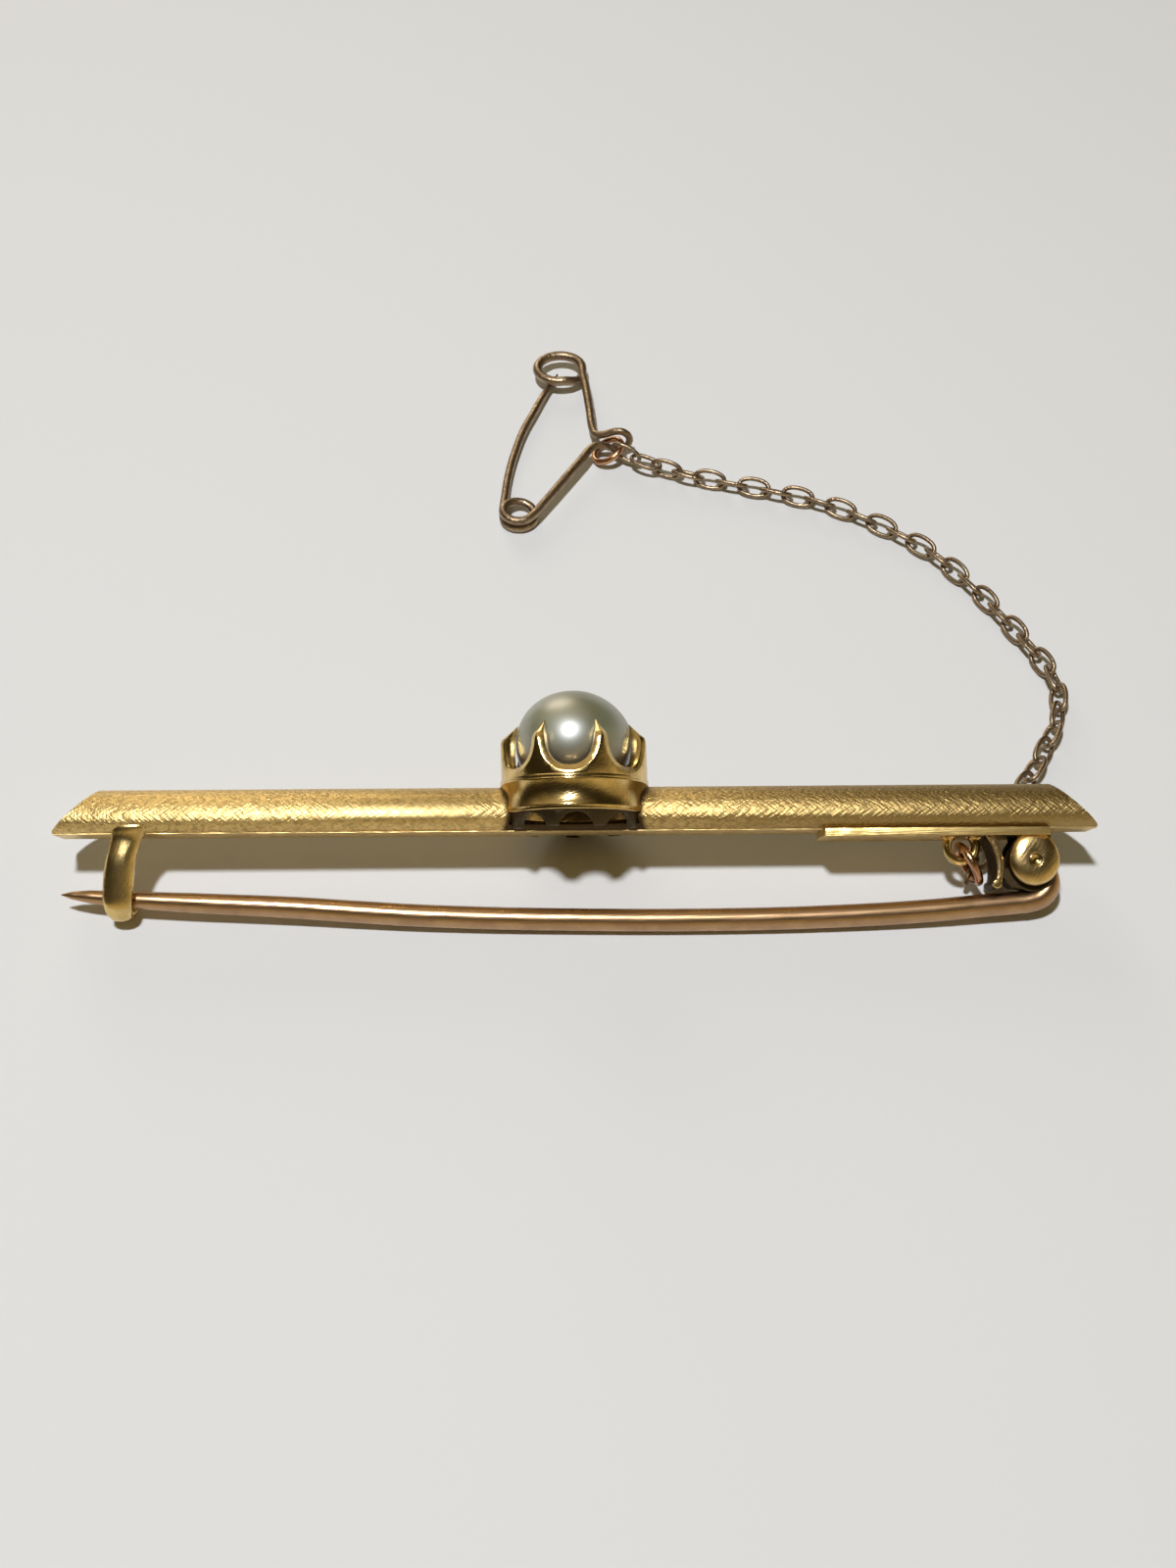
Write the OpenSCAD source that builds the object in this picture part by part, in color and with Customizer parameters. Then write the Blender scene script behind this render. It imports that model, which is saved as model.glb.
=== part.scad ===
// Bar brooch with one pearl in a claw setting, a hinged pin and a safety chain, lying on its side.
// Millimetres. +Z is up from the surface it lies on, X runs along the bar, +Y leads to the chain.
// The brooch itself is drawn standing: X along the bar, Z along the pearl's axis, its back at Z = 0,
// and the side that faces up when it lies towards -Y. The module lying() then turns it over.

/* [Bar] */
// Length of the bar along its back edge
bar_len = 50; // [48:0.5:52]
// Width of the bar across its back
bar_w = 3.3; // [3:0.1:3.5]
// Height of the bar from its back to its crest
bar_h = 2.24; // [2.2:0.02:2.4]
// Run of the slanted cut at each end
bar_slant = 2.0; // [1.4:0.05:2.4]
// Thickness of the flat back plate
back_t = 0.3; // [0.2:0.05:0.4]

/* [Setting] */
// Outer radius of the crown that carries the claws
crown_r = 3.6; // [3.5:0.01:3.65]
// Number of claws round the crown
claws = 7; // [6:1:8]
// Height of the claw tips above the bar's back
claw_top = 5.2; // [5.1:0.05:5.35]
// Radius at the claw tips, where they lean over the pearl
tip_r = 2.88; // [2.84:0.01:2.95]
// Number of arches round the open foot of the setting
arches = 9; // [7:1:10]

/* [Pearl] */
// Radius of the pearl
pearl_r = 2.74; // [2.5:0.01:2.76]
// Height of the pearl's centre above the bar's back
pearl_z = 4.34; // [4.32:0.01:4.5]

/* [Pin and hinge] */
// Distance from the bar's end to the hinge
hinge_inset = 3.03; // [2.8:0.05:3.3]
// Depth of the hinge axis below the bar's back
hinge_drop = 1.53; // [1.5:0.01:1.6]
// Radius of the hinge's ears
ear_r = 1.17; // [1.1:0.01:1.2]
// Radius of the rivet
rivet_r = 0.3; // [0.25:0.01:0.32]
// Clearance between the rivet and the pin's eye
running_gap = 0.03; // [0.02:0.01:0.06]

/* [Chain] */
// Number of links
links = 35; // [34:1:36]
// Half the length of a link's centre line
link_a = 0.88; // [0.86:0.01:0.9]
// Half the width of a link's centre line
link_b = 0.48; // [0.47:0.01:0.54]
// Radius of the link wire
link_wire = 0.115; // [0.1:0.005:0.12]

/* [Hidden] */
$fn = 64;

yellow_gold = [0.86, 0.66, 0.30];
rose_gold = [0.72, 0.48, 0.33];
copper_gold = [0.70, 0.42, 0.27];
nacre = [0.80, 0.79, 0.70];

// How it lies: the crown side leans up by rest_tilt and the foot of the setting carries it
rest_tilt = 31;
foot_r = 3.25;
foot_z = 0.1;
lift = foot_r * cos(rest_tilt) - foot_z * sin(rest_tilt);
// Middle of the whole object over the surface, so that the origin is under it
centre_x = 0.44;
centre_y = 16.95;

// Setting heights above the bar's back, from the open foot to the crown
spool_low = 0.83;
spool_top = 2.52;
spool_r = 3.59;
base_ring_r = 3.56;
waist_r = 3.5;
shoulder_z = 4.42;
wall = 0.34;

// Hinge and catch
hinge_x = bar_len / 2 - hinge_inset;
knuckle_r = 1.11;
knuckle_half = 0.58;
ear_in = 0.66;
ear_t = 0.42;
ear_dome = 0.24;
rivet_half = ear_in + ear_t + 0.16;
plate_t = 0.35;
catch_x = 3.15 - bar_len / 2;
catch_z = -2.98;
catch_out = 1.17;
catch_in = 0.62;
eyelet_x = hinge_x - 3.37;
eyelet_y = -0.42;
eyelet_z = -0.83;
eyelet_r = 0.68;
eyelet_wire = 0.19;

// Jump rings
ring_wire = 0.18;
bar_ring_r = 0.98;
far_ring_r = 0.9;
far_wire = 0.17;
// The first ring hangs from the eyelet, in a plane that holds Y and this slope in X and Z
bar_ring_slope = [0.458, 0, -0.889];
bar_ring_lean = 24;

function unit(v) = v / norm(v);
function xyz(p) = [p[0], p[1], p[2]];
function last(list) = list[len(list) - 1];
function on_surface(p) = [
    p[0],
    p[2] * cos(rest_tilt) + p[1] * sin(rest_tilt),
    lift + p[2] * sin(rest_tilt) - p[1] * cos(rest_tilt)];

// A smooth curve through rows of numbers; columns past the third, such as a radius, follow it too
function blend(a, b, c, d, t) =
    0.5 * (2 * b + (c - a) * t + (2 * a - 5 * b + 4 * c - d) * t * t + (3 * b - a - 3 * c + d) * t * t * t);
function smooth(rows, steps) = concat(
    [for (i = [0:len(rows) - 2], k = [0:steps - 1])
        blend(rows[max(i - 1, 0)], rows[i], rows[i + 1], rows[min(i + 2, len(rows) - 1)], k / steps)],
    [last(rows)]);

// Directions along a path and a side direction carried along it without twist
function directions(path) = [for (i = [0:len(path) - 1])
    unit(xyz(path[min(i + 1, len(path) - 1)]) - xyz(path[max(i - 1, 0)]))];
function square_to(v, t) = unit(v - (v * t) * t);
function carried(dirs, i, side) =
    i == len(dirs) ? [] : concat([square_to(side, dirs[i])], carried(dirs, i + 1, square_to(side, dirs[i])));

// Two triangles for each patch between neighbouring rings of points
function patch(a, b, c, d) = [[a, b, c], [a, c, d]];
function flat(lists) = [for (list = lists) each list];

// Round wire along rows of [x, y, z, radius], with flat ends
module wire(rows, sides = 8) {
    dirs = directions(rows);
    first_side = abs(dirs[0][2]) < 0.9 ? [0, 0, 1] : [1, 0, 0];
    across = carried(dirs, 0, first_side);
    points = [for (i = [0:len(rows) - 1], k = [0:sides - 1])
        xyz(rows[i]) + rows[i][3] * (cos(360 * k / sides) * across[i]
            + sin(360 * k / sides) * cross(dirs[i], across[i]))];
    skin = flat([for (i = [0:len(rows) - 2], k = [0:sides - 1])
        patch(i * sides + k, (i + 1) * sides + k,
            (i + 1) * sides + (k + 1) % sides, i * sides + (k + 1) % sides)]);
    start = [[for (k = [0:sides - 1]) k]];
    end = [[for (k = [sides - 1:-1:0]) (len(rows) - 1) * sides + k]];
    polyhedron(points = points, faces = concat(skin, start, end), convexity = 8);
}

// One oval link about a centre, along its length and across its width
module oval_link(centre, along, width, turns = 14, sides = 6) {
    up = cross(along, width);
    points = [for (i = [0:turns - 1], k = [0:sides - 1])
        let (a = 360 * i / turns, b = 360 * k / sides,
            out = unit(along * (cos(a) / link_a) + width * (sin(a) / link_b)))
        centre + along * (link_a * cos(a)) + width * (link_b * sin(a))
            + link_wire * (cos(b) * out + sin(b) * up)];
    skin = flat([for (i = [0:turns - 1], k = [0:sides - 1])
        let (j = (i + 1) % turns, m = (k + 1) % sides)
        patch(i * sides + k, i * sides + m, j * sides + m, j * sides + k)]);
    polyhedron(points = points, faces = skin, convexity = 4);
}

module torus(r, wire_r) {
    rotate_extrude() translate([r, 0]) circle(wire_r);
}

module placed() {
    translate([-centre_x, -centre_y, 0]) children();
}

module lying() {
    placed() translate([0, 0, lift]) rotate([rest_tilt - 90, 0, 0]) children();
}

// Bar

// Round-topped wire on a slightly wider flat plate, seen along the bar
module bar_section() {
    foot = bar_w / 2 - 0.06;
    rise = bar_h - back_t;
    round_r = (foot * foot + rise * rise) / (2 * rise);
    intersection() {
        translate([0, bar_h - round_r]) circle(round_r);
        translate([-bar_w, back_t - 0.05]) square([2 * bar_w, 2 * bar_h]);
    }
    translate([-bar_w / 2, 0]) square([bar_w, back_t]);
}

// Outline of the bar from the side, with its slanted ends
module bar_outline() {
    half = bar_len / 2;
    polygon([[-half, 0], [half, 0], [half, 0.12], [half - bar_slant, bar_h + 0.02],
        [bar_slant - half, bar_h + 0.02], [-half, 0.12]]);
}

module bar() {
    difference() {
        intersection() {
            rotate([90, 0, 90]) translate([0, 0, -bar_len / 2 - 1]) linear_extrude(bar_len + 2) bar_section();
            rotate([90, 0, 0]) translate([0, 0, -bar_w]) linear_extrude(2 * bar_w) bar_outline();
        }
        translate([0, 0, back_t]) cylinder(r = crown_r - wall / 2, h = bar_h);
    }
}

// Setting

// Spool between two flanges with a hollowed waist, and the ledge that the pearl sits on
module spool() {
    hollow = 1.6;
    ledge_r = 2.0;
    rotate_extrude() {
        difference() {
            translate([crown_r - wall, spool_low]) square([spool_r - crown_r + wall, spool_top - spool_low]);
            translate([waist_r + hollow, (spool_low + spool_top) / 2 - 0.04]) circle(hollow);
            translate([base_ring_r, 0]) square([1, spool_low + 0.5]);
        }
        translate([ledge_r, spool_low + 1.1]) square([crown_r - ledge_r - 0.1, 0.32]);
    }
}

// Outline of the gap between two claws: columns are half width and height
gap_rows = [
    [0.45, 2.62], [0.80, 2.86], [1.08, 3.22], [1.26, 3.66], [1.35, 4.10], [1.37, 4.48], [1.31, 4.86], [1.23, 5.12]];

module claw_gap() {
    rise = claw_top - last(gap_rows)[1];
    top = [[1.10, claw_top + rise], [1.10, claw_top + 1]];
    right = concat([[0, 2.54]], gap_rows, top);
    left = [for (i = [len(right) - 1:-1:1]) [-right[i][0], right[i][1]]];
    translate([0, -2.2, 0]) rotate([90, 0, 0]) linear_extrude(2.2) polygon(concat(right, left));
}

module crown() {
    first_gap = -3.65;
    difference() {
        rotate_extrude() polygon([
            [crown_r - wall, spool_top - 0.1], [crown_r - 0.06, spool_top - 0.1], [crown_r, shoulder_z],
            [tip_r, claw_top], [tip_r - 0.17, claw_top], [crown_r - wall - 0.06, shoulder_z - 0.04]]);
        for (i = [0:claws - 1]) rotate([0, 0, first_gap + 360 * i / claws]) claw_gap();
    }
}

// Open foot: a short flared wall cut into arches
module gallery() {
    first_foot = 22;
    arch_r = 0.84;
    arch_z = -0.1;
    difference() {
        rotate_extrude() polygon([
            [foot_r - wall, foot_z], [foot_r, foot_z], [base_ring_r - 0.06, spool_low + 0.1],
            [crown_r - wall, spool_low + 0.1]]);
        for (i = [0:arches - 1]) rotate([0, 0, first_foot + 360 * (i + 0.5) / arches])
            translate([0, -2, arch_z]) rotate([90, 0, 0]) cylinder(r = arch_r, h = 3);
    }
}

module setting() {
    spool();
    crown();
    gallery();
}

// Hinge side

// Face-on outline of the plate that the hinge and the eyelet are soldered to
module base_plate() {
    plate_w = 2.7;
    plate_left = hinge_x - 10.2;
    plate_right = hinge_x + 0.72;
    translate([0, 0, -plate_t]) linear_extrude(plate_t + 0.05) {
        translate([plate_left + plate_w / 2, -plate_w / 2])
            square([plate_right - plate_left - plate_w / 2, plate_w]);
        translate([plate_left + plate_w / 2, 0]) circle(plate_w / 2);
    }
}

// Ear of the hinge, bored for the rivet, with a domed and dimpled outer face
module ear(side) {
    dome_r = (ear_r * ear_r + ear_dome * ear_dome) / (2 * ear_dome);
    dimple_r = 0.62;
    full = ear_t + ear_dome;
    translate([hinge_x, side * ear_in, -hinge_drop]) rotate([-side * 90, 0, 0]) difference() {
        intersection() {
            cylinder(r = ear_r, h = full + 0.1);
            translate([0, 0, full - dome_r]) sphere(dome_r);
        }
        translate([0, 0, full + dimple_r - 0.2]) sphere(dimple_r);
        translate([0, 0, -0.1]) cylinder(r = rivet_r + 0.02, h = full + 1);
    }
    neck_t = ear_t - 0.06;
    neck_y = side * (ear_in + ear_t / 2) - neck_t / 2;
    translate([hinge_x - 0.6, neck_y, -0.75]) cube([1.2, neck_t, 0.75 - plate_t + 0.02]);
}

// Curved stop beside the hinge, with a rounded foot over the pin
module stop_plate() {
    bend_r = 2.68;
    bend_x = hinge_x - 4.19;
    bend_z = -1.84;
    thick = 0.3;
    half_w = 1.2;
    translate([0, half_w, 0]) rotate([90, 0, 0]) linear_extrude(2 * half_w) {
        translate([bend_x, bend_z]) intersection() {
            difference() {
                circle(bend_r);
                circle(bend_r - thick);
            }
            polygon([[0, 0], [3.2, -0.9], [3.2, 0], [2.3, 1.6], [1.9, 1.6]]);
        }
        translate([hinge_x - 1.83, -2.66]) circle(0.22);
    }
}

module eyelet() {
    translate([eyelet_x, eyelet_y, eyelet_z]) rotate([90, 0, 0]) torus(eyelet_r, eyelet_wire);
}

// Catch

// Hook seen along the bar: a leg from the bar's side, round the pin, to a short open lip
module hook_section() {
    mid = (catch_in + catch_out) / 2;
    lip_drop = 0.15;
    difference() {
        translate([0, catch_z]) circle(catch_out);
        translate([0, catch_z]) circle(catch_in);
        translate([-2, catch_z]) square([4, 2]);
        translate([0, catch_z - lip_drop]) square([2, 2]);
    }
    polygon([[-catch_out, catch_z - 0.01], [-catch_in, catch_z - 0.01], [-catch_in, 0.1], [-1.3, 0.28],
        [-bar_w / 2 - 0.1, 0.28], [-bar_w / 2 - 0.08, 0.02], [-1.42, -0.42], [-1.26, -1.0], [-1.2, -2.0]]);
    translate([mid - 0.01, catch_z - lip_drop]) circle((catch_out - catch_in) / 2);
}

// Hook seen from its side: columns are the left edge and the right edge of the strip, and the height
hook_rows = [
    [-0.18, 0.22, -4.2], [-0.46, 0.47, -4.02], [-0.63, 0.63, -3.6], [-0.71, 0.69, -2.9], [-0.68, 0.72, -1.9],
    [-0.56, 0.70, -1.1], [-0.33, 0.67, -0.45], [-0.32, 0.84, 0.1], [-0.4, 0.95, 0.4]];

module catch() {
    right = [for (row = hook_rows) [row[1], row[2]]];
    left = [for (i = [len(hook_rows) - 1:-1:0]) [hook_rows[i][0], hook_rows[i][2]]];
    intersection() {
        translate([catch_x, 0, 0]) rotate([90, 0, 90]) translate([0, 0, -1]) linear_extrude(2) hook_section();
        translate([catch_x, 2, 0]) rotate([90, 0, 0]) linear_extrude(4) polygon(concat(right, left));
    }
}

module brooch_body() {
    color(yellow_gold) lying() {
        bar();
        setting();
        base_plate();
        ear(-1);
        ear(1);
        stop_plate();
        eyelet();
        catch();
    }
}

// Pearl

// Distance from the centre: a little flattened near the top, and never quite round
function pearl_skin(down, round_about) =
    let (point = [sin(down) * sin(round_about), -sin(down) * cos(round_about), cos(down)],
        shoulder = unit([0.3, -0.1, 0.95]))
    pearl_r - 0.09 * pow(max(point * shoulder, 0), 4)
        + 0.012 * sin(3 * round_about) * sin(down);

module pearl() {
    rows = 16;
    columns = 28;
    points = concat([[0, 0, pearl_skin(0, 0)]],
        [for (i = [1:rows - 1], k = [0:columns - 1])
            let (down = 180 * i / rows, a = 360 * k / columns, r = pearl_skin(down, a))
            [r * sin(down) * sin(a), -r * sin(down) * cos(a), r * cos(down)]],
        [[0, 0, -pearl_skin(180, 0)]]);
    foot = len(points) - 1;
    top_fan = [for (k = [0:columns - 1]) [0, 1 + (k + 1) % columns, 1 + k]];
    foot_fan = [for (k = [0:columns - 1])
        [foot, foot - columns + k, foot - columns + (k + 1) % columns]];
    skin = flat([for (i = [0:rows - 3], k = [0:columns - 1])
        let (a = 1 + i * columns, b = a + columns, m = (k + 1) % columns)
        patch(a + k, a + m, b + m, b + k)]);
    color(nacre) lying() translate([0, 0, pearl_z])
        polyhedron(points = points, faces = concat(top_fan, skin, foot_fan), convexity = 2);
}

// Pin

// Columns: part of the way from the point to the hinge, depth below the bar's back, radius
stem_rows = [
    [0.000, 2.82, 0.03], [0.017, 2.91, 0.15], [0.040, 3.03, 0.26], [0.078, 3.20, 0.345], [0.14, 3.45, 0.39],
    [0.24, 3.74, 0.44], [0.38, 4.05, 0.48], [0.54, 4.25, 0.50], [0.68, 4.27, 0.51], [0.80, 4.14, 0.52],
    [0.90, 3.87, 0.54], [0.955, 3.63, 0.55]];
// The heel beyond it, measured from the hinge: columns are along the bar, depth, radius
heel_rows = [[-0.72, 3.51, 0.55], [-0.05, 3.42, 0.56], [0.5, 3.20, 0.56], [0.84, 2.80, 0.54], [0.9, 2.3, 0.5], [0.72, 1.85, 0.42]];

function stem_path() =
    let (point_x = 0.22 - bar_len / 2, reach = hinge_x - point_x)
    concat([for (row = stem_rows) [point_x + row[0] * reach, 0, -row[1], row[2]]],
        [for (row = heel_rows) [hinge_x + row[0], 0, -row[1], row[2]]]);

module pin_stem() {
    color(rose_gold) lying() difference() {
        union() {
            wire(smooth(stem_path(), 3), 12);
            translate([hinge_x, knuckle_half, -hinge_drop]) rotate([90, 0, 0])
                cylinder(r = knuckle_r, h = 2 * knuckle_half);
        }
        translate([hinge_x, 1, -hinge_drop]) rotate([90, 0, 0])
            cylinder(r = rivet_r + running_gap, h = 2);
    }
}

module hinge_rivet() {
    color(yellow_gold) lying() translate([hinge_x, 0, -hinge_drop]) rotate([90, 0, 0]) rotate_extrude()
        intersection() {
            translate([0, -rivet_half]) square([rivet_r, 2 * rivet_half]);
            circle(rivet_half);
        }
}

// Chain and rings

// Centre of the first ring, which passes through the eyelet's hole
function bar_ring_centre() = [eyelet_x, eyelet_y, eyelet_z]
    + bar_ring_r * (cos(bar_ring_lean) * bar_ring_slope + sin(bar_ring_lean) * [0, 1, 0]);

module bar_ring() {
    color(copper_gold) lying() translate(bar_ring_centre())
        rotate([0, atan2(-bar_ring_slope[2], bar_ring_slope[0]), 0]) torus(bar_ring_r, ring_wire);
}

// The far ring leans: its left side lies on the surface and its right side is up in the pin's eye
far_ring_at = [1.97, 29.56, 0.61];
far_ring_turn = -5;
far_ring_lean = 29;

module far_ring() {
    color(copper_gold) placed() translate(far_ring_at) rotate([0, 0, far_ring_turn])
        rotate([0, -far_ring_lean, 0]) torus(far_ring_r, far_wire);
}

// Lowest point of the first ring, where the chain starts
function chain_start() =
    let (slope = on_surface(bar_ring_slope) - on_surface([0, 0, 0]),
        across = on_surface([0, 1, 0]) - on_surface([0, 0, 0]),
        low = unit(-slope[2] * slope - across[2] * across))
    on_surface(bar_ring_centre()) + bar_ring_r * low;

// Point of the far ring that the chain pulls on
function chain_end() =
    let (up_side = [cos(far_ring_turn) * cos(far_ring_lean), sin(far_ring_turn) * cos(far_ring_lean),
            sin(far_ring_lean)],
        level_side = [-sin(far_ring_turn), cos(far_ring_turn), 0],
        pull = -22)
    far_ring_at + far_ring_r * (cos(pull) * up_side + sin(pull) * level_side);

// Route of the chain over the surface, from under the bar to the safety pin: x, y and height
chain_rows = [
    [19.8, -0.2, 0.70], [20.6, 1.3, 0.64], [21.7, 2.9, 0.58], [22.8, 4.4, 0.53], [23.8, 6.1, 0.51],
    [24.8, 8.0, 0.51], [25.4, 9.8, 0.51], [25.4, 11.6, 0.51], [24.7, 13.5, 0.51], [23.4, 16.0, 0.51],
    [21.8, 18.7, 0.51], [19.9, 21.2, 0.51], [17.5, 23.2, 0.51], [14.5, 25.0, 0.51], [11.2, 26.2, 0.51],
    [7.6, 27.2, 0.52], [5.5, 27.9, 0.61], [4.3, 28.4, 0.68], [3.4, 28.8, 0.82]];

chain_line = smooth(concat([chain_start()], chain_rows, [chain_end()]), 10);
function run(line, i, sum) =
    i == len(line) - 1 ? [sum] : concat([sum], run(line, i + 1, sum + norm(line[i + 1] - line[i])));
chain_run = run(chain_line, 0, 0);
chain_len = last(chain_run);
function chain_at(s) = [for (c = [0:2])
    lookup(s, [for (i = [0:len(chain_line) - 1]) [chain_run[i], chain_line[i][c]]])];

// Links lean left and right in turn, none quite alike, and stand on edge where they meet the rings
start_gap = 0.27;
end_gap = 0.40;
pitch = (chain_len - start_gap - end_gap) / (links - 1);
function twist(i) = 45 * max(0, 1 - i / 5, 1 - (links - 1 - i) / 5);
function link_roll(i) = (i % 2 == 0 ? -45 : 45) - twist(i) + 5 * sin(i * 131);

module chain() {
    color(rose_gold) placed() for (i = [0:links - 1]) {
        s = start_gap + i * pitch;
        along = unit(chain_at(s + 0.5) - chain_at(s - 0.5));
        level = unit(cross([0, 0, 1], along));
        over = cross(along, level);
        oval_link(chain_at(s), along, cos(link_roll(i)) * level + sin(link_roll(i)) * over);
    }
}

// Safety pin

// One wire, from its point, up the open leg, round the coil, along the back leg with the eye
// bent into it, to the round head: columns are x, y, height and radius
point_leg = [
    [-1.02, 36.60, 0.45, 0.04], [-1.42, 35.70, 0.42, 0.14], [-1.88, 34.65, 0.43, 0.18],
    [-2.46, 33.10, 0.42, 0.20], [-3.02, 31.60, 0.38, 0.21], [-3.47, 29.87, 0.34, 0.21],
    [-3.80, 28.15, 0.31, 0.22], [-4.00, 26.30, 0.27, 0.23]];
coil_x = -3.17;
coil_y = 24.42;
coil_r = 0.90;
coil_low = 0.25;
coil_high = 0.80;
pin_wire = 0.25;
coil_leave = 690;
function coil_height(a) = coil_low + (coil_high - coil_low) * min(max((a - 340) / 190, 0), 1);
coil = [for (a = [180:30:coil_leave]) [coil_x + coil_r * cos(a), coil_y + coil_r * sin(a), coil_height(a), pin_wire]];
back_leg = [
    [-1.72, 25.00, 0.81, 0.26], [-0.50, 27.00, 0.85, 0.27], [0.52, 28.66, 0.90, 0.26], [0.95, 29.38, 0.93, 0.24],
    [1.30, 29.66, 0.94, 0.22], [1.75, 29.74, 0.84, 0.21], [2.20, 29.80, 0.58, 0.21], [2.70, 29.92, 0.38, 0.21],
    [3.12, 30.04, 0.62, 0.21], [3.24, 30.12, 1.05, 0.21], [2.95, 30.20, 1.42, 0.21], [2.50, 30.26, 1.48, 0.21],
    [2.05, 30.32, 1.30, 0.21], [1.64, 30.38, 1.12, 0.22], [1.28, 30.56, 0.98, 0.24], [1.12, 31.00, 0.93, 0.25],
    [0.92, 32.80, 0.92, 0.26], [0.72, 34.70, 0.91, 0.26], [0.52, 36.10, 0.90, 0.25]];
head_x = -0.88;
head_y = 36.62;
head_rx = 1.36;
head_ry = 1.20;
head = [for (a = [10:25:310]) [head_x + head_rx * cos(a), head_y + head_ry * sin(a), 0.90, 0.27]];

module safety_pin() {
    color(rose_gold) placed() wire(smooth(concat(point_leg, coil, back_leg, head), 2), 8);
}

brooch_body();
pearl();
pin_stem();
hinge_rivet();
bar_ring();
chain();
far_ring();
safety_pin();
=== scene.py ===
"""Gold bar brooch with a pearl in a claw setting, a hinged pin, a hook catch and a safety chain."""

import math

import bmesh
import bpy
import numpy as np
from bpy.props import FloatProperty, FloatVectorProperty, IntProperty, PointerProperty
from mathutils import Matrix, Vector


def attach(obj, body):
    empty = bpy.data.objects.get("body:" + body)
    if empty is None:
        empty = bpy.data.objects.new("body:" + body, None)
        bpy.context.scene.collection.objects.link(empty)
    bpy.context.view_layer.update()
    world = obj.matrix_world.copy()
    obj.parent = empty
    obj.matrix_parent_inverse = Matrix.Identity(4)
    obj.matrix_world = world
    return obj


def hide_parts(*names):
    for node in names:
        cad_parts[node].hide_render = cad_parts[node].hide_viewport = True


bl_info = {
    "name": "Pearl bar brooch",
    "version": (1, 0, 0),
    "blender": (4, 5, 0),
    "location": "3D View > Sidebar > Brooch",
    "description": "Models a gold bar brooch with a pearl, its pin and its safety chain",
    "category": "Object",
}

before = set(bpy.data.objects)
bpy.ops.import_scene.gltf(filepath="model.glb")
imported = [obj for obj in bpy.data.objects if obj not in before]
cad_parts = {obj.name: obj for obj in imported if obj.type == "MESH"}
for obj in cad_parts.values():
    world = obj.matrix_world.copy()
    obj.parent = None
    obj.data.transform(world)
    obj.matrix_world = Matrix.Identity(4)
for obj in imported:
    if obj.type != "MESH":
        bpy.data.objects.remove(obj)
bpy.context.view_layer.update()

# Pieces are made on the bench, upright and in millimetres, then set down where the brooch lies
BENCH_UNIT = 0.001
REST_TILT = 31
FOOT_RADIUS = 3.25
FOOT_HEIGHT = 0.1
LIFT = FOOT_RADIUS * math.cos(math.radians(REST_TILT)) - FOOT_HEIGHT * math.sin(math.radians(REST_TILT))
CENTRE_X = 0.44
CENTRE_Y = 16.95
WELD = 0.0005

# Places on the bench that several pieces share
HINGE_X = 21.97
HINGE_DROP = 1.53
EYELET = (18.60, -0.42, -0.83)

PHOTO_LENS = 43.875
PHOTO_SENSOR = 36
# Colour painted where shade falls, and the roughness it is given there
PAINTED_SHADE = (0.075, 0.045, 0.018, 1)
PAINTED_SHADE_ROUGHNESS = 0.5
FLOAT, VECTOR, COLOUR = "NodeSocketFloat", "NodeSocketVector", "NodeSocketColor"


# Sizes and colours


class BroochSizes(bpy.types.PropertyGroup):
    """Sizes of the brooch"""

    bar_length: FloatProperty(
        name="Bar length", description="Length of the bar at its back", default=0.050, unit="LENGTH")
    bar_width: FloatProperty(
        name="Bar width", description="Blank that the bar's sides are rounded from", default=0.0033, unit="LENGTH")
    bar_height: FloatProperty(
        name="Bar height", description="From the back of the plate to the crest", default=0.00224, unit="LENGTH")
    bar_slant: FloatProperty(
        name="End slant", description="How far the crest stops short of the back", default=0.002, unit="LENGTH")
    bore_floor: FloatProperty(
        name="Bore floor", description="Metal left under the setting's bore", default=0.0003, unit="LENGTH")
    crown_radius: FloatProperty(
        name="Crown radius", description="Outside of the claw ring", default=0.0036, unit="LENGTH")
    crown_wall: FloatProperty(
        name="Crown wall", description="Thickness of the claw ring", default=0.00034, unit="LENGTH")
    claws: IntProperty(name="Claws", description="Claws round the pearl", default=7, min=3, max=12)
    claw_bevel: FloatProperty(
        name="Bright cut", description="Width of the bright cut round each gap", default=0.00029, unit="LENGTH")
    pearl_radius: FloatProperty(
        name="Pearl radius", description="Radius of the pearl", default=0.00274, unit="LENGTH")
    link_length: FloatProperty(
        name="Link half length", description="Middle of the wire, along the link", default=0.00088, unit="LENGTH")
    link_width: FloatProperty(
        name="Link half width", description="Middle of the wire, across the link", default=0.00048, unit="LENGTH")
    link_wire: FloatProperty(
        name="Link wire radius", description="Radius of the chain's wire", default=0.000125, unit="LENGTH")


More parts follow.
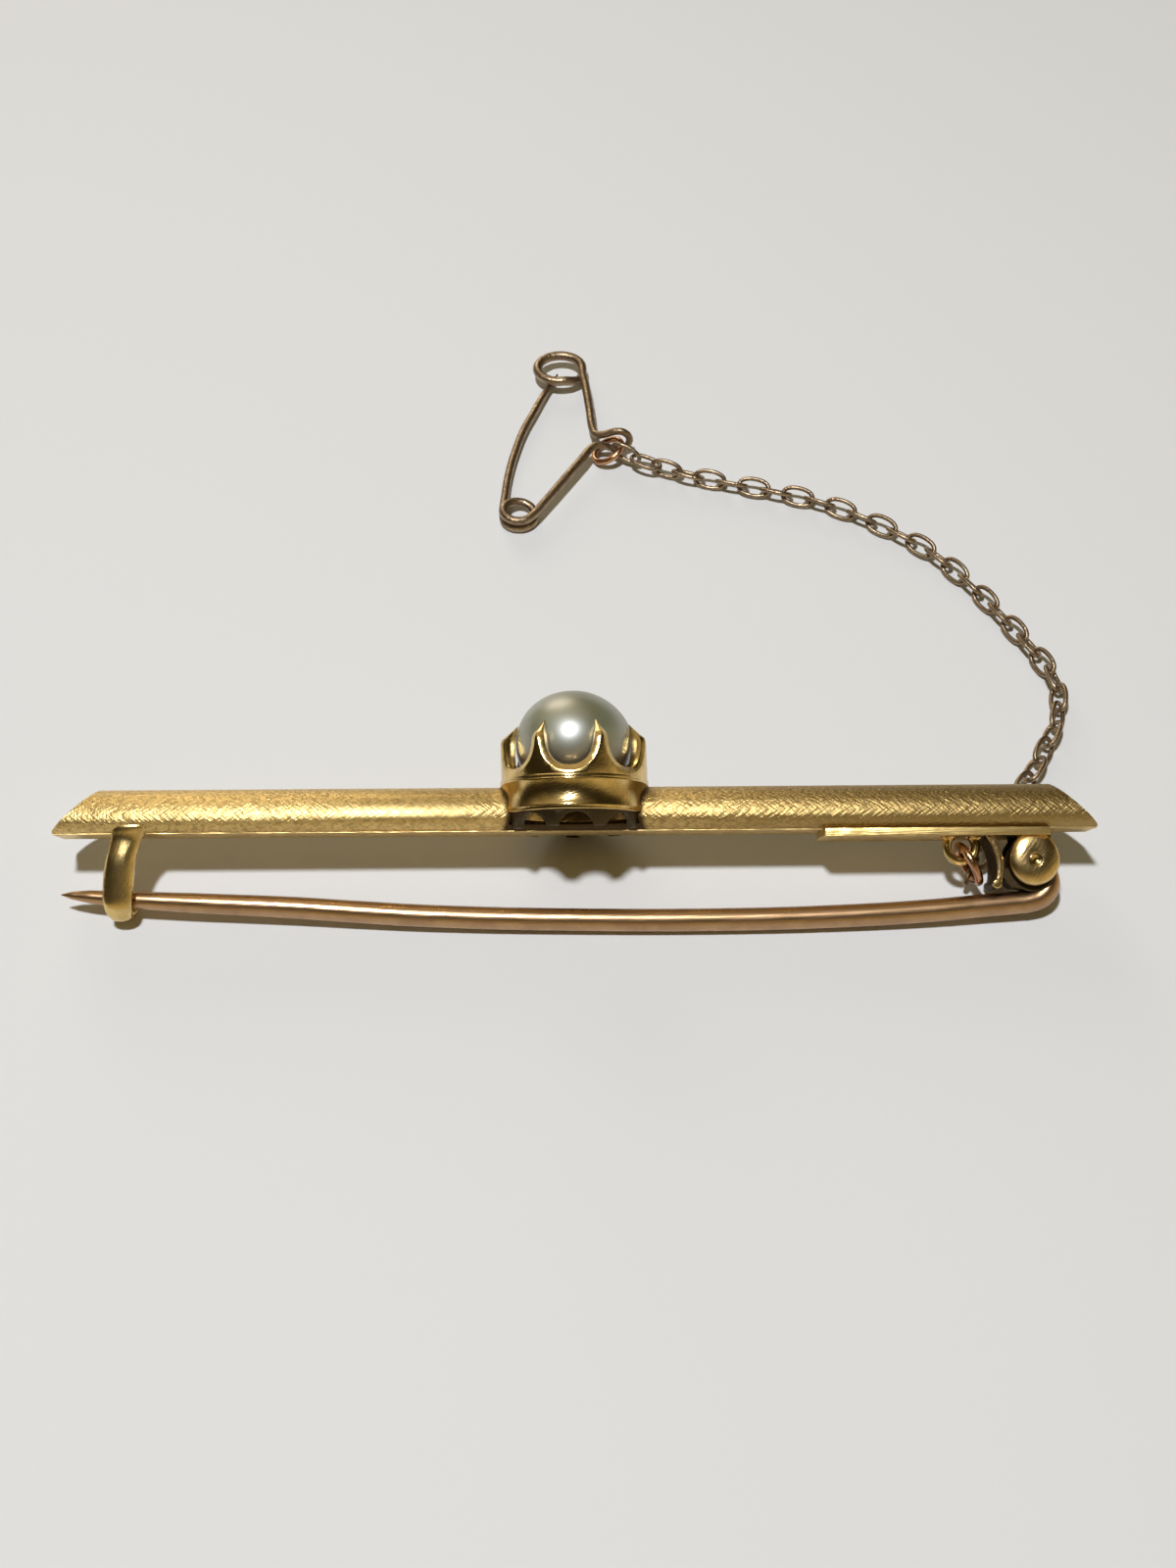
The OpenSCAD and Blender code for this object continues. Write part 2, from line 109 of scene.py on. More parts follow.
class BroochColours(bpy.types.PropertyGroup):
    """Colours of the metals, the pearl and the floor"""

    yellow_gold: FloatVectorProperty(
        name="Yellow gold", description="Bar, setting, hinge and catch",
        default=(0.80, 0.575, 0.235), subtype="COLOR", min=0, max=1)
    # Also painted over the bar's right half as shade
    yellow_shade: FloatVectorProperty(
        name="Yellow gold shade", description="Yellow gold where it is worn or dull",
        default=(0.39, 0.265, 0.10), subtype="COLOR", min=0, max=1)
    rose_gold: FloatVectorProperty(
        name="Rose gold", description="Pin, chain and safety pin",
        default=(0.50, 0.315, 0.165), subtype="COLOR", min=0, max=1)
    rose_shade: FloatVectorProperty(
        name="Rose gold shade", description="Rose gold where it is worn or dull",
        default=(0.33, 0.19, 0.11), subtype="COLOR", min=0, max=1)
    copper_gold: FloatVectorProperty(
        name="Copper gold", description="Jump rings",
        default=(0.58, 0.32, 0.17), subtype="COLOR", min=0, max=1)
    copper_shade: FloatVectorProperty(
        name="Copper gold shade", description="Copper gold where it is worn or dull",
        default=(0.28, 0.14, 0.085), subtype="COLOR", min=0, max=1)
    pearl_body: FloatVectorProperty(
        name="Pearl", description="Body colour of the pearl",
        default=(0.145, 0.132, 0.055), subtype="COLOR", min=0, max=1)
    pearl_glow: FloatVectorProperty(
        name="Pearl overtone", description="Second colour in the nacre",
        default=(0.175, 0.182, 0.095), subtype="COLOR", min=0, max=1)
    floor: FloatVectorProperty(
        name="Floor", description="Surface that the brooch lies on",
        default=(0.79, 0.775, 0.775), subtype="COLOR", min=0, max=1)


def mm(size):
    """A stored size in the bench's millimetres."""
    return size / BENCH_UNIT


# Bench work


def clear_bench():
    """Leaves edit mode and lets go of everything."""
    if bpy.context.object and bpy.context.object.mode != "OBJECT":
        bpy.ops.object.mode_set(mode="OBJECT")
    bpy.ops.object.select_all(action="DESELECT")


def take(*pieces):
    """Selects these pieces alone; the first one is the active one."""
    clear_bench()
    for piece in pieces:
        piece.select_set(True)
    bpy.context.view_layer.objects.active = pieces[0]


def added(name, operator, **settings):
    """What the operator adds to the cleared bench, with its name."""
    clear_bench()
    operator(**settings)
    piece = bpy.context.object
    piece.name = name
    piece.data.name = name
    return piece


def apply_place(piece):
    take(piece)
    bpy.ops.object.transform_apply(location=True, rotation=True, scale=True)


def started(name, primitive, **settings):
    """A primitive added at its size and place, to be shaped further."""
    piece = added(name, primitive, **settings)
    apply_place(piece)
    return piece


class Editing:
    """Edit mode on one piece, with all of it selected at the start."""

    def __init__(self, piece):
        self.piece = piece

    def __enter__(self):
        take(self.piece)
        bpy.ops.object.mode_set(mode="EDIT")
        if self.piece.type == "MESH":
            bpy.ops.mesh.select_mode(type="VERT")
            bpy.ops.mesh.select_all(action="SELECT")

    def __exit__(self, *problem):
        bpy.ops.object.mode_set(mode="OBJECT")


def pick(piece, rule):
    """In edit mode, selects the points whose place passes the rule."""
    bpy.ops.mesh.select_mode(type="VERT")
    bpy.ops.mesh.select_all(action="DESELECT")
    mesh = bmesh.from_edit_mesh(piece.data)
    for point in mesh.verts:
        point.select = rule(point.co)
    mesh.select_flush_mode()
    bmesh.update_edit_mesh(piece.data)


def stretch(piece, rule, value, centre):
    """Scales the points that the rule picks about a centre."""
    with Editing(piece):
        pick(piece, rule)
        bpy.ops.transform.resize(value=value, center_override=centre)


def drawn_line(name, points, closed=False):
    """A line of edges, drawn point by point."""
    line = added(name, bpy.ops.mesh.primitive_plane_add, size=0.1)
    with Editing(line):
        bpy.ops.mesh.merge(type="CENTER")
        bpy.ops.transform.translate(value=points[0])
        for start, end in zip(points, points[1:]):
            step = Vector(end) - Vector(start)
            bpy.ops.mesh.extrude_vertices_move(TRANSFORM_OT_translate={"value": step})
        if closed:
            ends = (Vector(points[0]), Vector(points[-1]))
            pick(line, lambda place: min((place - end).length for end in ends) < WELD)
            bpy.ops.mesh.edge_face_add()
    return line


def close_ends(piece):
    """In edit mode, puts a face on each open end."""
    bpy.ops.mesh.select_mode(type="EDGE")
    while True:
        bpy.ops.mesh.select_all(action="DESELECT")
        mesh = bmesh.from_edit_mesh(piece.data)
        rim = [edge for edge in mesh.edges if edge.is_boundary]
        if not rim:
            break
        loop = [rim[0]]
        for edge in loop:
            nearby = [other for point in edge.verts for other in point.link_edges]
            loop += [other for other in nearby if other.is_boundary and other not in loop]
        for edge in loop:
            edge.select_set(True)
        bmesh.update_edit_mesh(piece.data)
        bpy.ops.mesh.edge_face_add()
    bpy.ops.mesh.select_all(action="SELECT")


def weld(piece):
    with Editing(piece):
        bpy.ops.mesh.remove_doubles(threshold=WELD)
        bpy.ops.mesh.normals_make_consistent(inside=False)


def turn_by(degrees, axis):
    return Matrix.Rotation(math.radians(degrees), 4, axis)


def moved(piece, turn, place):
    """Turns and moves the piece itself."""
    piece.matrix_world = Matrix.Translation(place) @ turn
    apply_place(piece)


def copied(piece, turn=None, place=(0, 0, 0)):
    """A copy with its own mesh, turned and moved."""
    take(piece)
    bpy.ops.object.duplicate(linked=False)
    copy = bpy.context.object
    moved(copy, turn or Matrix(), place)
    return copy


def joined(*pieces):
    take(*pieces)
    bpy.ops.object.join()
    return pieces[0]


def lofted(name, rings):
    """A closed skin over rings of edges, from the first ring to the last."""
    sleeves = []
    for first, second in zip(rings, rings[1:]):
        sleeve = joined(copied(first), copied(second))
        with Editing(sleeve):
            bpy.ops.mesh.bridge_edge_loops()
        sleeves.append(sleeve)
    for ring in rings:
        bpy.data.objects.remove(ring)
    skin = joined(*sleeves)
    skin.name = name
    weld(skin)
    with Editing(skin):
        close_ends(skin)
        bpy.ops.mesh.normals_make_consistent(inside=False)
    return skin


def turned(name, profile, steps, closed=True):
    """A profile of radius and height, turned round the upright axis."""
    piece = drawn_line(name, [(r, 0, z) for r, z in profile], closed)
    with Editing(piece):
        bpy.ops.mesh.spin(steps=steps, angle=math.tau, center=(0, 0, 0), axis=(0, 0, 1))
    weld(piece)
    return piece


def modify(piece, kind, **settings):
    """Adds a modifier with its settings and applies it."""
    take(piece)
    bpy.ops.object.modifier_add(type=kind)
    modifier = piece.modifiers[-1]
    for key, value in settings.items():
        setattr(modifier, key, value)
    bpy.ops.object.modifier_apply(modifier=modifier.name)


def cut(piece, cutter):
    """Takes the cutter's shape out of the piece."""
    modify(piece, "BOOLEAN", operation="DIFFERENCE", solver="EXACT", object=cutter)
    bpy.data.objects.remove(cutter)


def soften(piece, width, segments=2, angle=40):
    """Rounds the sharp edges."""
    modify(piece, "BEVEL", width=width, segments=segments, limit_method="ANGLE", angle_limit=math.radians(angle))


def round_wire(curve, radius, sides, steps):
    """Gives a curve its round section and makes it a mesh."""
    curve.data.dimensions = "3D"
    curve.data.bevel_depth = radius
    curve.data.bevel_resolution = sides
    curve.data.resolution_u = steps
    bpy.ops.object.convert(target="MESH")
    wire = bpy.context.object
    weld(wire)
    return wire


def drawn_wire(name, rows, sides, steps):
    """A round wire through rows of x, y, height and radius."""
    wire = added(name, bpy.ops.curve.primitive_bezier_curve_add)
    spline = wire.data.splines[0]
    spline.bezier_points.add(len(rows) - 2)
    for point, row in zip(spline.bezier_points, rows):
        point.co = row[:3]
        point.radius = row[3]
        point.handle_left_type = "AUTO"
        point.handle_right_type = "AUTO"
    wire.data.use_fill_caps = True
    return round_wire(wire, 1, sides, steps)


def set_down(piece, lying):
    """Brings a piece from the bench to its place: the brooch leans back, the rest lies as drawn."""
    piece.scale = [BENCH_UNIT] * 3
    piece.location = Vector((-CENTRE_X, -CENTRE_Y, LIFT if lying else 0)) * BENCH_UNIT
    piece.rotation_euler = (math.radians(REST_TILT - 90) if lying else 0, 0, 0)
    apply_place(piece)


def finished(piece, material, node="brooch_body", body="brooch", lying=True, smooth=35):
    """Sets a piece down, gives it its material and ties it to the frame."""
    set_down(piece, lying)
    bpy.ops.object.shade_smooth_by_angle(angle=math.radians(smooth))
    piece.data.materials.clear()
    piece.data.materials.append(material)
    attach(piece, body)
    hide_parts(node)


# Nodes


def feed(tree, socket, value):
    """Links an output to the socket, or sets the socket's value."""
    if isinstance(value, bpy.types.NodeSocket):
        tree.links.new(value, socket)
    else:
        socket.default_value = value


def add_node(tree, kind, x, y, inputs=None, **settings):
    """A node with its settings made, and its inputs linked or set."""
    node = tree.nodes.new(kind)
    node.location = (x, y)
    for key, value in settings.items():
        setattr(node, key, value)
    for key, value in (inputs or {}).items():
        feed(tree, node.inputs[key], value)
    return node


def add_noise(tree, x, y, place, scale, detail, roughness=0.5):
    noise = add_node(tree, "ShaderNodeTexNoise", x, y, {
        "Vector": place, "Scale": scale, "Detail": detail, "Roughness": roughness})
    return noise.outputs["Fac"]


def add_math(tree, operation, x, y, *values):
    node = add_node(tree, "ShaderNodeMath", x, y, dict(enumerate(values)), operation=operation)
    return node.outputs["Value"]


def add_range(tree, x, y, value, start, end, low=0, high=1, smooth=True):
    """Turns start to end into low to high, and holds those two beyond."""
    spread = add_node(tree, "ShaderNodeMapRange", x, y, {
        "Value": value, "From Min": start, "From Max": end, "To Min": low, "To Max": high},
        interpolation_type="SMOOTHSTEP" if smooth else "LINEAR")
    return spread.outputs["Result"]


def add_mix(tree, x, y, share, first, second):
    """A colour between two. The sockets go by number, because their names repeat."""
    mix = add_node(tree, "ShaderNodeMix", x, y, {0: share, 6: first, 7: second}, data_type="RGBA")
    return mix.outputs[2]


def new_group(name, inputs, outputs):
    """An empty node group with named sockets, then what it takes in and what it gives out."""
    tree = bpy.data.node_groups.new(name, "ShaderNodeTree")
    for label, kind, value in inputs:
        socket = tree.interface.new_socket(name=label, in_out="INPUT", socket_type=kind)
        if value is not None:
            socket.default_value = value
    for label, kind in outputs:
        tree.interface.new_socket(name=label, in_out="OUTPUT", socket_type=kind)
    start = add_node(tree, "NodeGroupInput", -900, 0)
    end = add_node(tree, "NodeGroupOutput", 700, 0)
    return tree, start.outputs, end.inputs


def add_group(tree, maker, x, y, inputs=None):
    """Places a shared node group. Its maker builds it once, under the maker's own name."""
    name = maker.__name__.replace("_", " ").title()
    group = bpy.data.node_groups.get(name) or maker(name)
    return add_node(tree, "ShaderNodeGroup", x, y, inputs, node_tree=group)


def bench_space(name):
    """Where a point was on the bench, in millimetres, so that patterns follow the bar."""
    tree, _, end = new_group(name, [], [("Bench", VECTOR)])
    place = add_node(tree, "ShaderNodeTexCoord", -500, 0)
    back = add_node(tree, "ShaderNodeMapping", -200, 0, {
        "Vector": place.outputs["Object"], "Location": Vector((-CENTRE_X, -CENTRE_Y, LIFT)) * BENCH_UNIT,
        "Rotation": (math.radians(REST_TILT - 90), 0, 0), "Scale": [BENCH_UNIT] * 3}, vector_type="TEXTURE")
    feed(tree, end["Bench"], back.outputs["Vector"])
    return tree


def graver_strokes(name):
    """Fine strokes of a graver or a file: streaks along one direction."""
    tree, start, end = new_group(
        name, [("Bench", VECTOR, None), ("Lean", FLOAT, 0.6), ("Fineness", FLOAT, 22.0), ("Length", FLOAT, 0.06)],
        [("Height", FLOAT)])
    turn = add_node(tree, "ShaderNodeVectorRotate", -640, 60, {
        "Vector": start["Bench"], "Angle": start["Lean"]}, rotation_type="Y_AXIS")
    squeeze = add_node(tree, "ShaderNodeCombineXYZ", -640, -160, {"X": start["Length"], "Y": 1, "Z": 1})
    stretch = add_node(tree, "ShaderNodeVectorMath", -420, 40, {
        0: turn.outputs["Vector"], 1: squeeze.outputs["Vector"]}, operation="MULTIPLY")
    feed(tree, end["Height"], add_noise(tree, -200, 60, stretch.outputs["Vector"], start["Fineness"], 2))
    return tree


def worn_tint(name):
    """Metal colour that shifts a little between bright and dull patches."""
    tree, start, end = new_group(
        name, [("Bench", VECTOR, None), ("Bright", COLOUR, (0.8, 0.5, 0.2, 1)), ("Dull", COLOUR, (0.5, 0.3, 0.1, 1)),
               ("Patch Size", FLOAT, 1.2), ("Dull Share", FLOAT, 0.5)],
        [("Color", COLOUR), ("Dullness", FLOAT)])
    patches = add_noise(tree, -600, 100, start["Bench"], start["Patch Size"], 4, roughness=0.65)
    spread = add_range(tree, -360, 100, patches, 0.34, 0.70)
    amount = add_math(tree, "MULTIPLY", -140, 100, spread, start["Dull Share"])
    feed(tree, end["Color"], add_mix(tree, 100, 0, amount, start["Bright"], start["Dull"]))
    feed(tree, end["Dullness"], amount)
    return tree


def painted_shade_mask(name):
    """Where shade is painted: 1 in corners and crevices, by how near a point is to the middle along the weighted
    directions.
    """
    tree, start, end = new_group(
        name, [("Bench", VECTOR, None), ("Weights", VECTOR, (1, 1, 0)), ("No Shade", FLOAT, 3.85),
               ("Full Shade", FLOAT, 3.5)],
        [("Mask", FLOAT)])
    weighted = add_node(tree, "ShaderNodeVectorMath", -500, 0, {
        0: start["Bench"], 1: start["Weights"]}, operation="MULTIPLY")
    distance = add_node(tree, "ShaderNodeVectorMath", -250, 0, {0: weighted.outputs["Vector"]}, operation="LENGTH")
    feed(tree, end["Mask"], add_range(tree, 50, 0, distance.outputs["Value"], start["No Shade"], start["Full Shade"]))
    return tree


def nacre(name):
    """Colour of the nacre, in soft clouds, and its faint ripples."""
    tree, start, end = new_group(
        name, [("Bench", VECTOR, None), ("Body", COLOUR, (0.7, 0.68, 0.55, 1)),
               ("Overtone", COLOUR, (0.7, 0.7, 0.65, 1))],
        [("Color", COLOUR), ("Ripple", FLOAT)])
    clouds = add_noise(tree, -600, 150, start["Bench"], 0.45, 3)
    share = add_range(tree, -360, 150, clouds, 0.38, 0.64)
    feed(tree, end["Color"], add_mix(tree, -100, 100, share, start["Body"], start["Overtone"]))
    feed(tree, end["Ripple"], add_noise(tree, -600, -150, start["Bench"], 2.2, 6))
    return tree


# Materials


def opaque(colour):
    return (*colour, 1)


def new_material(name, **finish):
    """A material, its nodes and its shader, with the shader's own values set."""
    material = bpy.data.materials.new(name)
    material.use_nodes = True
    shader = material.node_tree.nodes["Principled BSDF"]
    for socket, value in finish.items():
        shader.inputs[socket.replace("_", " ")].default_value = value
    return material, material.node_tree, shader


def add_relief(tree, shader, height, depth):
    relief = add_node(tree, "ShaderNodeBump", 200, -300, {"Distance": depth, "Strength": 1, "Height": height})
    feed(tree, shader.inputs["Normal"], relief.outputs["Normal"])
    return relief


class Metal:
    """A gold with worn patches, and what its finish is built with."""

    def __init__(self, name, bright, dull, patch_size, dull_share, roughness):
        self.material, self.tree, self.shader = new_material(name, Metallic=1)
        self.shader.location = (500, 0)
        self.tree.nodes["Material Output"].location = (800, 0)
        self.bench = add_group(self.tree, bench_space, -900, 0).outputs["Bench"]
        self.tint = add_group(self.tree, worn_tint, -600, 200, {
            "Bench": self.bench, "Bright": opaque(bright), "Dull": opaque(dull), "Patch Size": patch_size,
            "Dull Share": dull_share})
        self.rough = add_node(self.tree, "ShaderNodeMapRange", 200, 0, {
            "Value": self.tint.outputs["Dullness"], "To Min": roughness[0], "To Max": roughness[1]})
        self.surface(self.tint.outputs["Color"], self.rough.outputs["Result"])

    def surface(self, colour, roughness):
        feed(self.tree, self.shader.inputs["Base Color"], colour)
        feed(self.tree, self.shader.inputs["Roughness"], roughness)

    def strokes(self, lean, fineness, length, y=-200):
        node = add_group(self.tree, graver_strokes, -600, y, {
            "Bench": self.bench, "Lean": lean, "Fineness": fineness, "Length": length})
        return node.outputs["Height"]

    def relief(self, height, depth):
        return add_relief(self.tree, self.shader, height, depth)

    def brushed(self, depth, **marks):
        """Finishes it with one set of strokes."""
        self.relief(self.strokes(**marks), depth)
        return self.material

    def rubbed(self, depth, scale, detail):
        """Finishes it with soft irregular rubs."""
        self.relief(add_noise(self.tree, -600, -200, self.bench, scale, detail), depth)
        return self.material

    def tarnish(self, colour, weights, no_shade, full_shade):
        """Paints shade: darkens the metal and dulls it where the mask is 1."""
        mask = add_group(self.tree, painted_shade_mask, -300, 500, {
            "Bench": self.bench, "Weights": weights, "No Shade": no_shade, "Full Shade": full_shade}).outputs["Mask"]
        dulled = add_node(self.tree, "ShaderNodeMix", 0, 150, {
            0: mask, 2: self.rough.outputs["Result"], 3: PAINTED_SHADE_ROUGHNESS}, data_type="FLOAT")
        self.surface(add_mix(self.tree, 0, 400, mask, colour, PAINTED_SHADE), dulled.outputs[0])


def satin_gold(name, colours):
    """Bar: crossed fine strokes all along, and upright file strokes on the left end."""
    gold = Metal(name, colours.yellow_gold, colours.yellow_shade, patch_size=3, dull_share=0.3, roughness=(0.42, 0.5))
    tree = gold.tree
    rising = gold.strokes(lean=0.62, fineness=8, length=0.14, y=-100)
    falling = gold.strokes(lean=-0.7, fineness=9, length=0.14, y=-320)
    upright = gold.strokes(lean=math.pi / 2, fineness=9, length=0.10, y=-540)
    along = add_node(tree, "ShaderNodeSeparateXYZ", -600, -760, {"Vector": gold.bench}).outputs["X"]
    crossed = add_math(tree, "ADD", -340, -200, rising, falling)
    left_end = add_range(tree, -340, -700, along, -19.5, -22.5)
    filed = add_math(tree, "MULTIPLY", -120, -560, upright, left_end)
    relief = gold.relief(add_math(tree, "ADD", 20, -300, crossed, filed), depth=0.000045)

    # Rubbed smooth round one place left of the middle
    from_worn = add_math(tree, "ADD", -340, -900, along, 7.8)
    away = add_math(tree, "ABSOLUTE", -160, -900, from_worn)
    feed(tree, relief.inputs["Strength"], add_range(tree, 20, -900, away, 1.0, 5.5, low=0.2))

    # Duller towards the right, with painted shade darkening the right half where the lamp's highlight falls off, and
    # darker along the strokes
    dull_end = add_range(tree, 20, -1150, along, -10, 20, low=0.47, high=0.50, smooth=False)
    feed(tree, gold.rough.inputs["To Max"], dull_end)
    on_strokes = add_range(tree, -120, 300, crossed, 0.92, 1.2, high=0.7, smooth=False)
    right_shade = add_range(tree, -120, 550, along, -4, 16, high=0.95)
    marks_and_shade = add_math(tree, "ADD", 60, 550, on_strokes, right_shade)
    shaded = add_mix(tree, 240, 400, marks_and_shade, gold.tint.outputs["Color"], opaque(colours.yellow_shade))
    # Painted shade in the corner where the bar meets the setting
    gold.tarnish(shaded, weights=(1, 1, 0), no_shade=3.8, full_shade=3.5)
    return gold.material


def polished_gold(name, colours):
    """Setting: polished, with hairline wear."""
    gold = Metal(name, colours.yellow_gold, colours.yellow_shade, patch_size=1.4, dull_share=0.6,
                 roughness=(0.13, 0.22))
    return gold.brushed(depth=0.000008, lean=0.3, fineness=16, length=0.10)


def catch_gold(name, colours):
    """Catch: rubbed half matt by handling."""
    gold = Metal(name, colours.yellow_gold, colours.yellow_shade, patch_size=1.1, dull_share=0.55,
                 roughness=(0.22, 0.34))
    return gold.brushed(depth=0.000012, lean=1.2, fineness=11, length=0.2)


def plate_gold(name, colours):
    """Flat plates: brushed along their length."""
    gold = Metal(name, colours.yellow_gold, colours.yellow_shade, patch_size=1.1, dull_share=0.8,
                 roughness=(0.34, 0.50))
    return gold.brushed(depth=0.00002, lean=0, fineness=20, length=0.03)


def hinge_gold(name, colours):
    """Hinge and stop: polished outside, with painted shade between the ears."""
    gold = Metal(name, colours.yellow_gold, colours.rose_gold, patch_size=1.2, dull_share=0.6, roughness=(0.2, 0.36))
    gold.relief(gold.strokes(lean=0.9, fineness=12, length=0.15), depth=0.00001)
    # Painted shade between the ears and over the middle of the stop
    gold.tarnish(gold.tint.outputs["Color"], weights=(0, 1, 0), no_shade=1.14, full_shade=0.98)
    return gold.material


def shade_dark_gold(name, colours):
    """Foot of the setting and knuckle: painted dark for the shade they sit in, dull, never rubbed bright."""
    gold = Metal(name, (0.085, 0.065, 0.035), PAINTED_SHADE[:3], patch_size=1.5, dull_share=0.95, roughness=(0.35, 0.5))
    return gold.brushed(depth=0.00002, lean=0.4, fineness=6, length=0.5)


def drawn_rose_gold(name, colours):
    """Pin: drawn wire, polished along its length."""
    gold = Metal(name, colours.rose_gold, colours.rose_shade, patch_size=0.7, dull_share=0.6, roughness=(0.27, 0.40))
    return gold.brushed(depth=0.000007, lean=0.05, fineness=14, length=0.04)


def worn_rose_gold(name, colours):
    """Chain and safety pin: darker and half matt from wear."""
    gold = Metal(name, (0.37, 0.275, 0.175), (0.24, 0.165, 0.11), patch_size=1.6, dull_share=0.9,
                 roughness=(0.26, 0.46))
    return gold.rubbed(depth=0.00003, scale=9, detail=5)


def copper_gold(name, colours):
    """Jump rings: redder wire."""
    gold = Metal(name, colours.copper_gold, colours.copper_shade, patch_size=1.5, dull_share=0.6,
                 roughness=(0.18, 0.36))
    return gold.rubbed(depth=0.00002, scale=8, detail=4)


def pearl_nacre(name, colours):
    """Pearl: a soft body colour under a glossy coat, with painted shade and a painted reflection of the setting low
    down in its seat.
    """
    material, tree, shader = new_material(
        name, Roughness=0.5, IOR=1.55, Coat_Weight=1, Coat_Roughness=0.39, Coat_IOR=3.2)
    bench = add_group(tree, bench_space, -900, 0).outputs["Bench"]
    layers = add_group(tree, nacre, -600, 0, {
        "Bench": bench, "Body": opaque(colours.pearl_body), "Overtone": opaque(colours.pearl_glow)})
    # Painted shade and reflection of the setting, darker down in the seat
    upward = add_node(tree, "ShaderNodeSeparateXYZ", -600, 300, {"Vector": bench}).outputs["Z"]
    seat_shade = add_range(tree, -400, 300, upward, 4.7, 3.2, high=0.9)
    feed(tree, shader.inputs["Base Color"], add_mix(tree, -150, 200, seat_shade, layers.outputs["Color"], PAINTED_SHADE))
    add_relief(tree, shader, layers.outputs["Ripple"], depth=0.00001)
    return material


def pale_surface(name, colours):
    """Floor: matt, with a very faint tooth."""
    material, tree, shader = new_material(name, Base_Color=opaque(colours.floor), Roughness=0.75)
    place = add_node(tree, "ShaderNodeTexCoord", -600, 0).outputs["Object"]
    add_relief(tree, shader, add_noise(tree, -400, 0, place, 2500, 2), depth=0.000003)
    return material


def material_of(maker):
    """The maker's material, made once, under the maker's own name."""
    name = maker.__name__.replace("_", " ")
    return bpy.data.materials.get(name) or maker(name, bpy.context.scene.brooch_colours)


# Pieces


class BROOCH_OT_bar(bpy.types.Operator):
    """Round-topped bar with slanted ends on its flat plate"""

    bl_idname = "brooch.bar"
    bl_label = "Bar"

    # The blanks are this much too long, for the ends to be cut
    spare = 1

    def execute(self, context):
        sizes = context.scene.brooch_sizes
        half = mm(sizes.bar_length) / 2
        height = mm(sizes.bar_height)
        width = mm(sizes.bar_width)
        slant = mm(sizes.bar_slant)
        side_rounding, strip_share, strip_thickness = 0.05, 0.665, 0.1

        round_top = self.round_top(half, height, width / 2 - side_rounding)
        self.slant_ends(round_top, half, height, slant)
        self.open_for_setting(round_top, sizes)
        soften(round_top, 0.09, segments=3, angle=50)
        finished(round_top, material_of(satin_gold))

        strip = started(
            "back_plate", bpy.ops.mesh.primitive_cube_add, size=1, location=(0, 0, strip_thickness / 2),
            scale=(2 * half + self.spare, strip_share * width, strip_thickness))
        self.slant_ends(strip, half, height, slant)
        soften(strip, 0.015, segments=1, angle=30)
        finished(strip, material_of(plate_gold))
        return {"FINISHED"}

    def round_top(self, half, height, half_width):
        """Oval rod, rounder below its widest line and cut flat where it meets the plate."""
        widest, bottom, lower = 0.74, 0.06, 0.64
        piece = started(
            "bar", bpy.ops.mesh.primitive_cylinder_add, vertices=128, radius=1, depth=2 * half + self.spare,
            location=(0, 0, widest), rotation=(0, math.pi / 2, 0), scale=(height - widest, half_width, 1))
        stretch(piece, lambda place: place.z < widest - 0.001, (1, 1, lower), (0, 0, widest))
        with Editing(piece):
            bpy.ops.mesh.bisect(
                plane_co=(0, 0, bottom), plane_no=(0, 0, 1), use_fill=True, clear_inner=True)
        return piece

    def slant_ends(self, piece, half, height, slant):
        """Cuts each end slantwise down to its foot, and the foot upright."""
        foot = 0.14
        for side in (-1, 1):
            for start, normal in ((foot, (side * (height - foot), 0, slant)), (0, (side, 0, 0))):
                with Editing(piece):
                    bpy.ops.mesh.bisect(
                        plane_co=(side * half, 0, start), plane_no=normal, use_fill=True, clear_outer=True)

    def open_for_setting(self, piece, sizes):
        """Bores the middle, with a slightly uneven wall."""
        bore = mm(sizes.crown_radius) - mm(sizes.crown_wall) / 2
        depth = mm(sizes.bar_height) + self.spare
        cutter = started(
            "bore", bpy.ops.mesh.primitive_cylinder_add, vertices=160, radius=bore, depth=depth,
            location=(0, 0, mm(sizes.bore_floor) + depth / 2))
        with Editing(cutter):
            bpy.ops.mesh.select_all(action="SELECT")
            bpy.ops.transform.vertex_random(offset=0.03, seed=4)
        cut(piece, cutter)


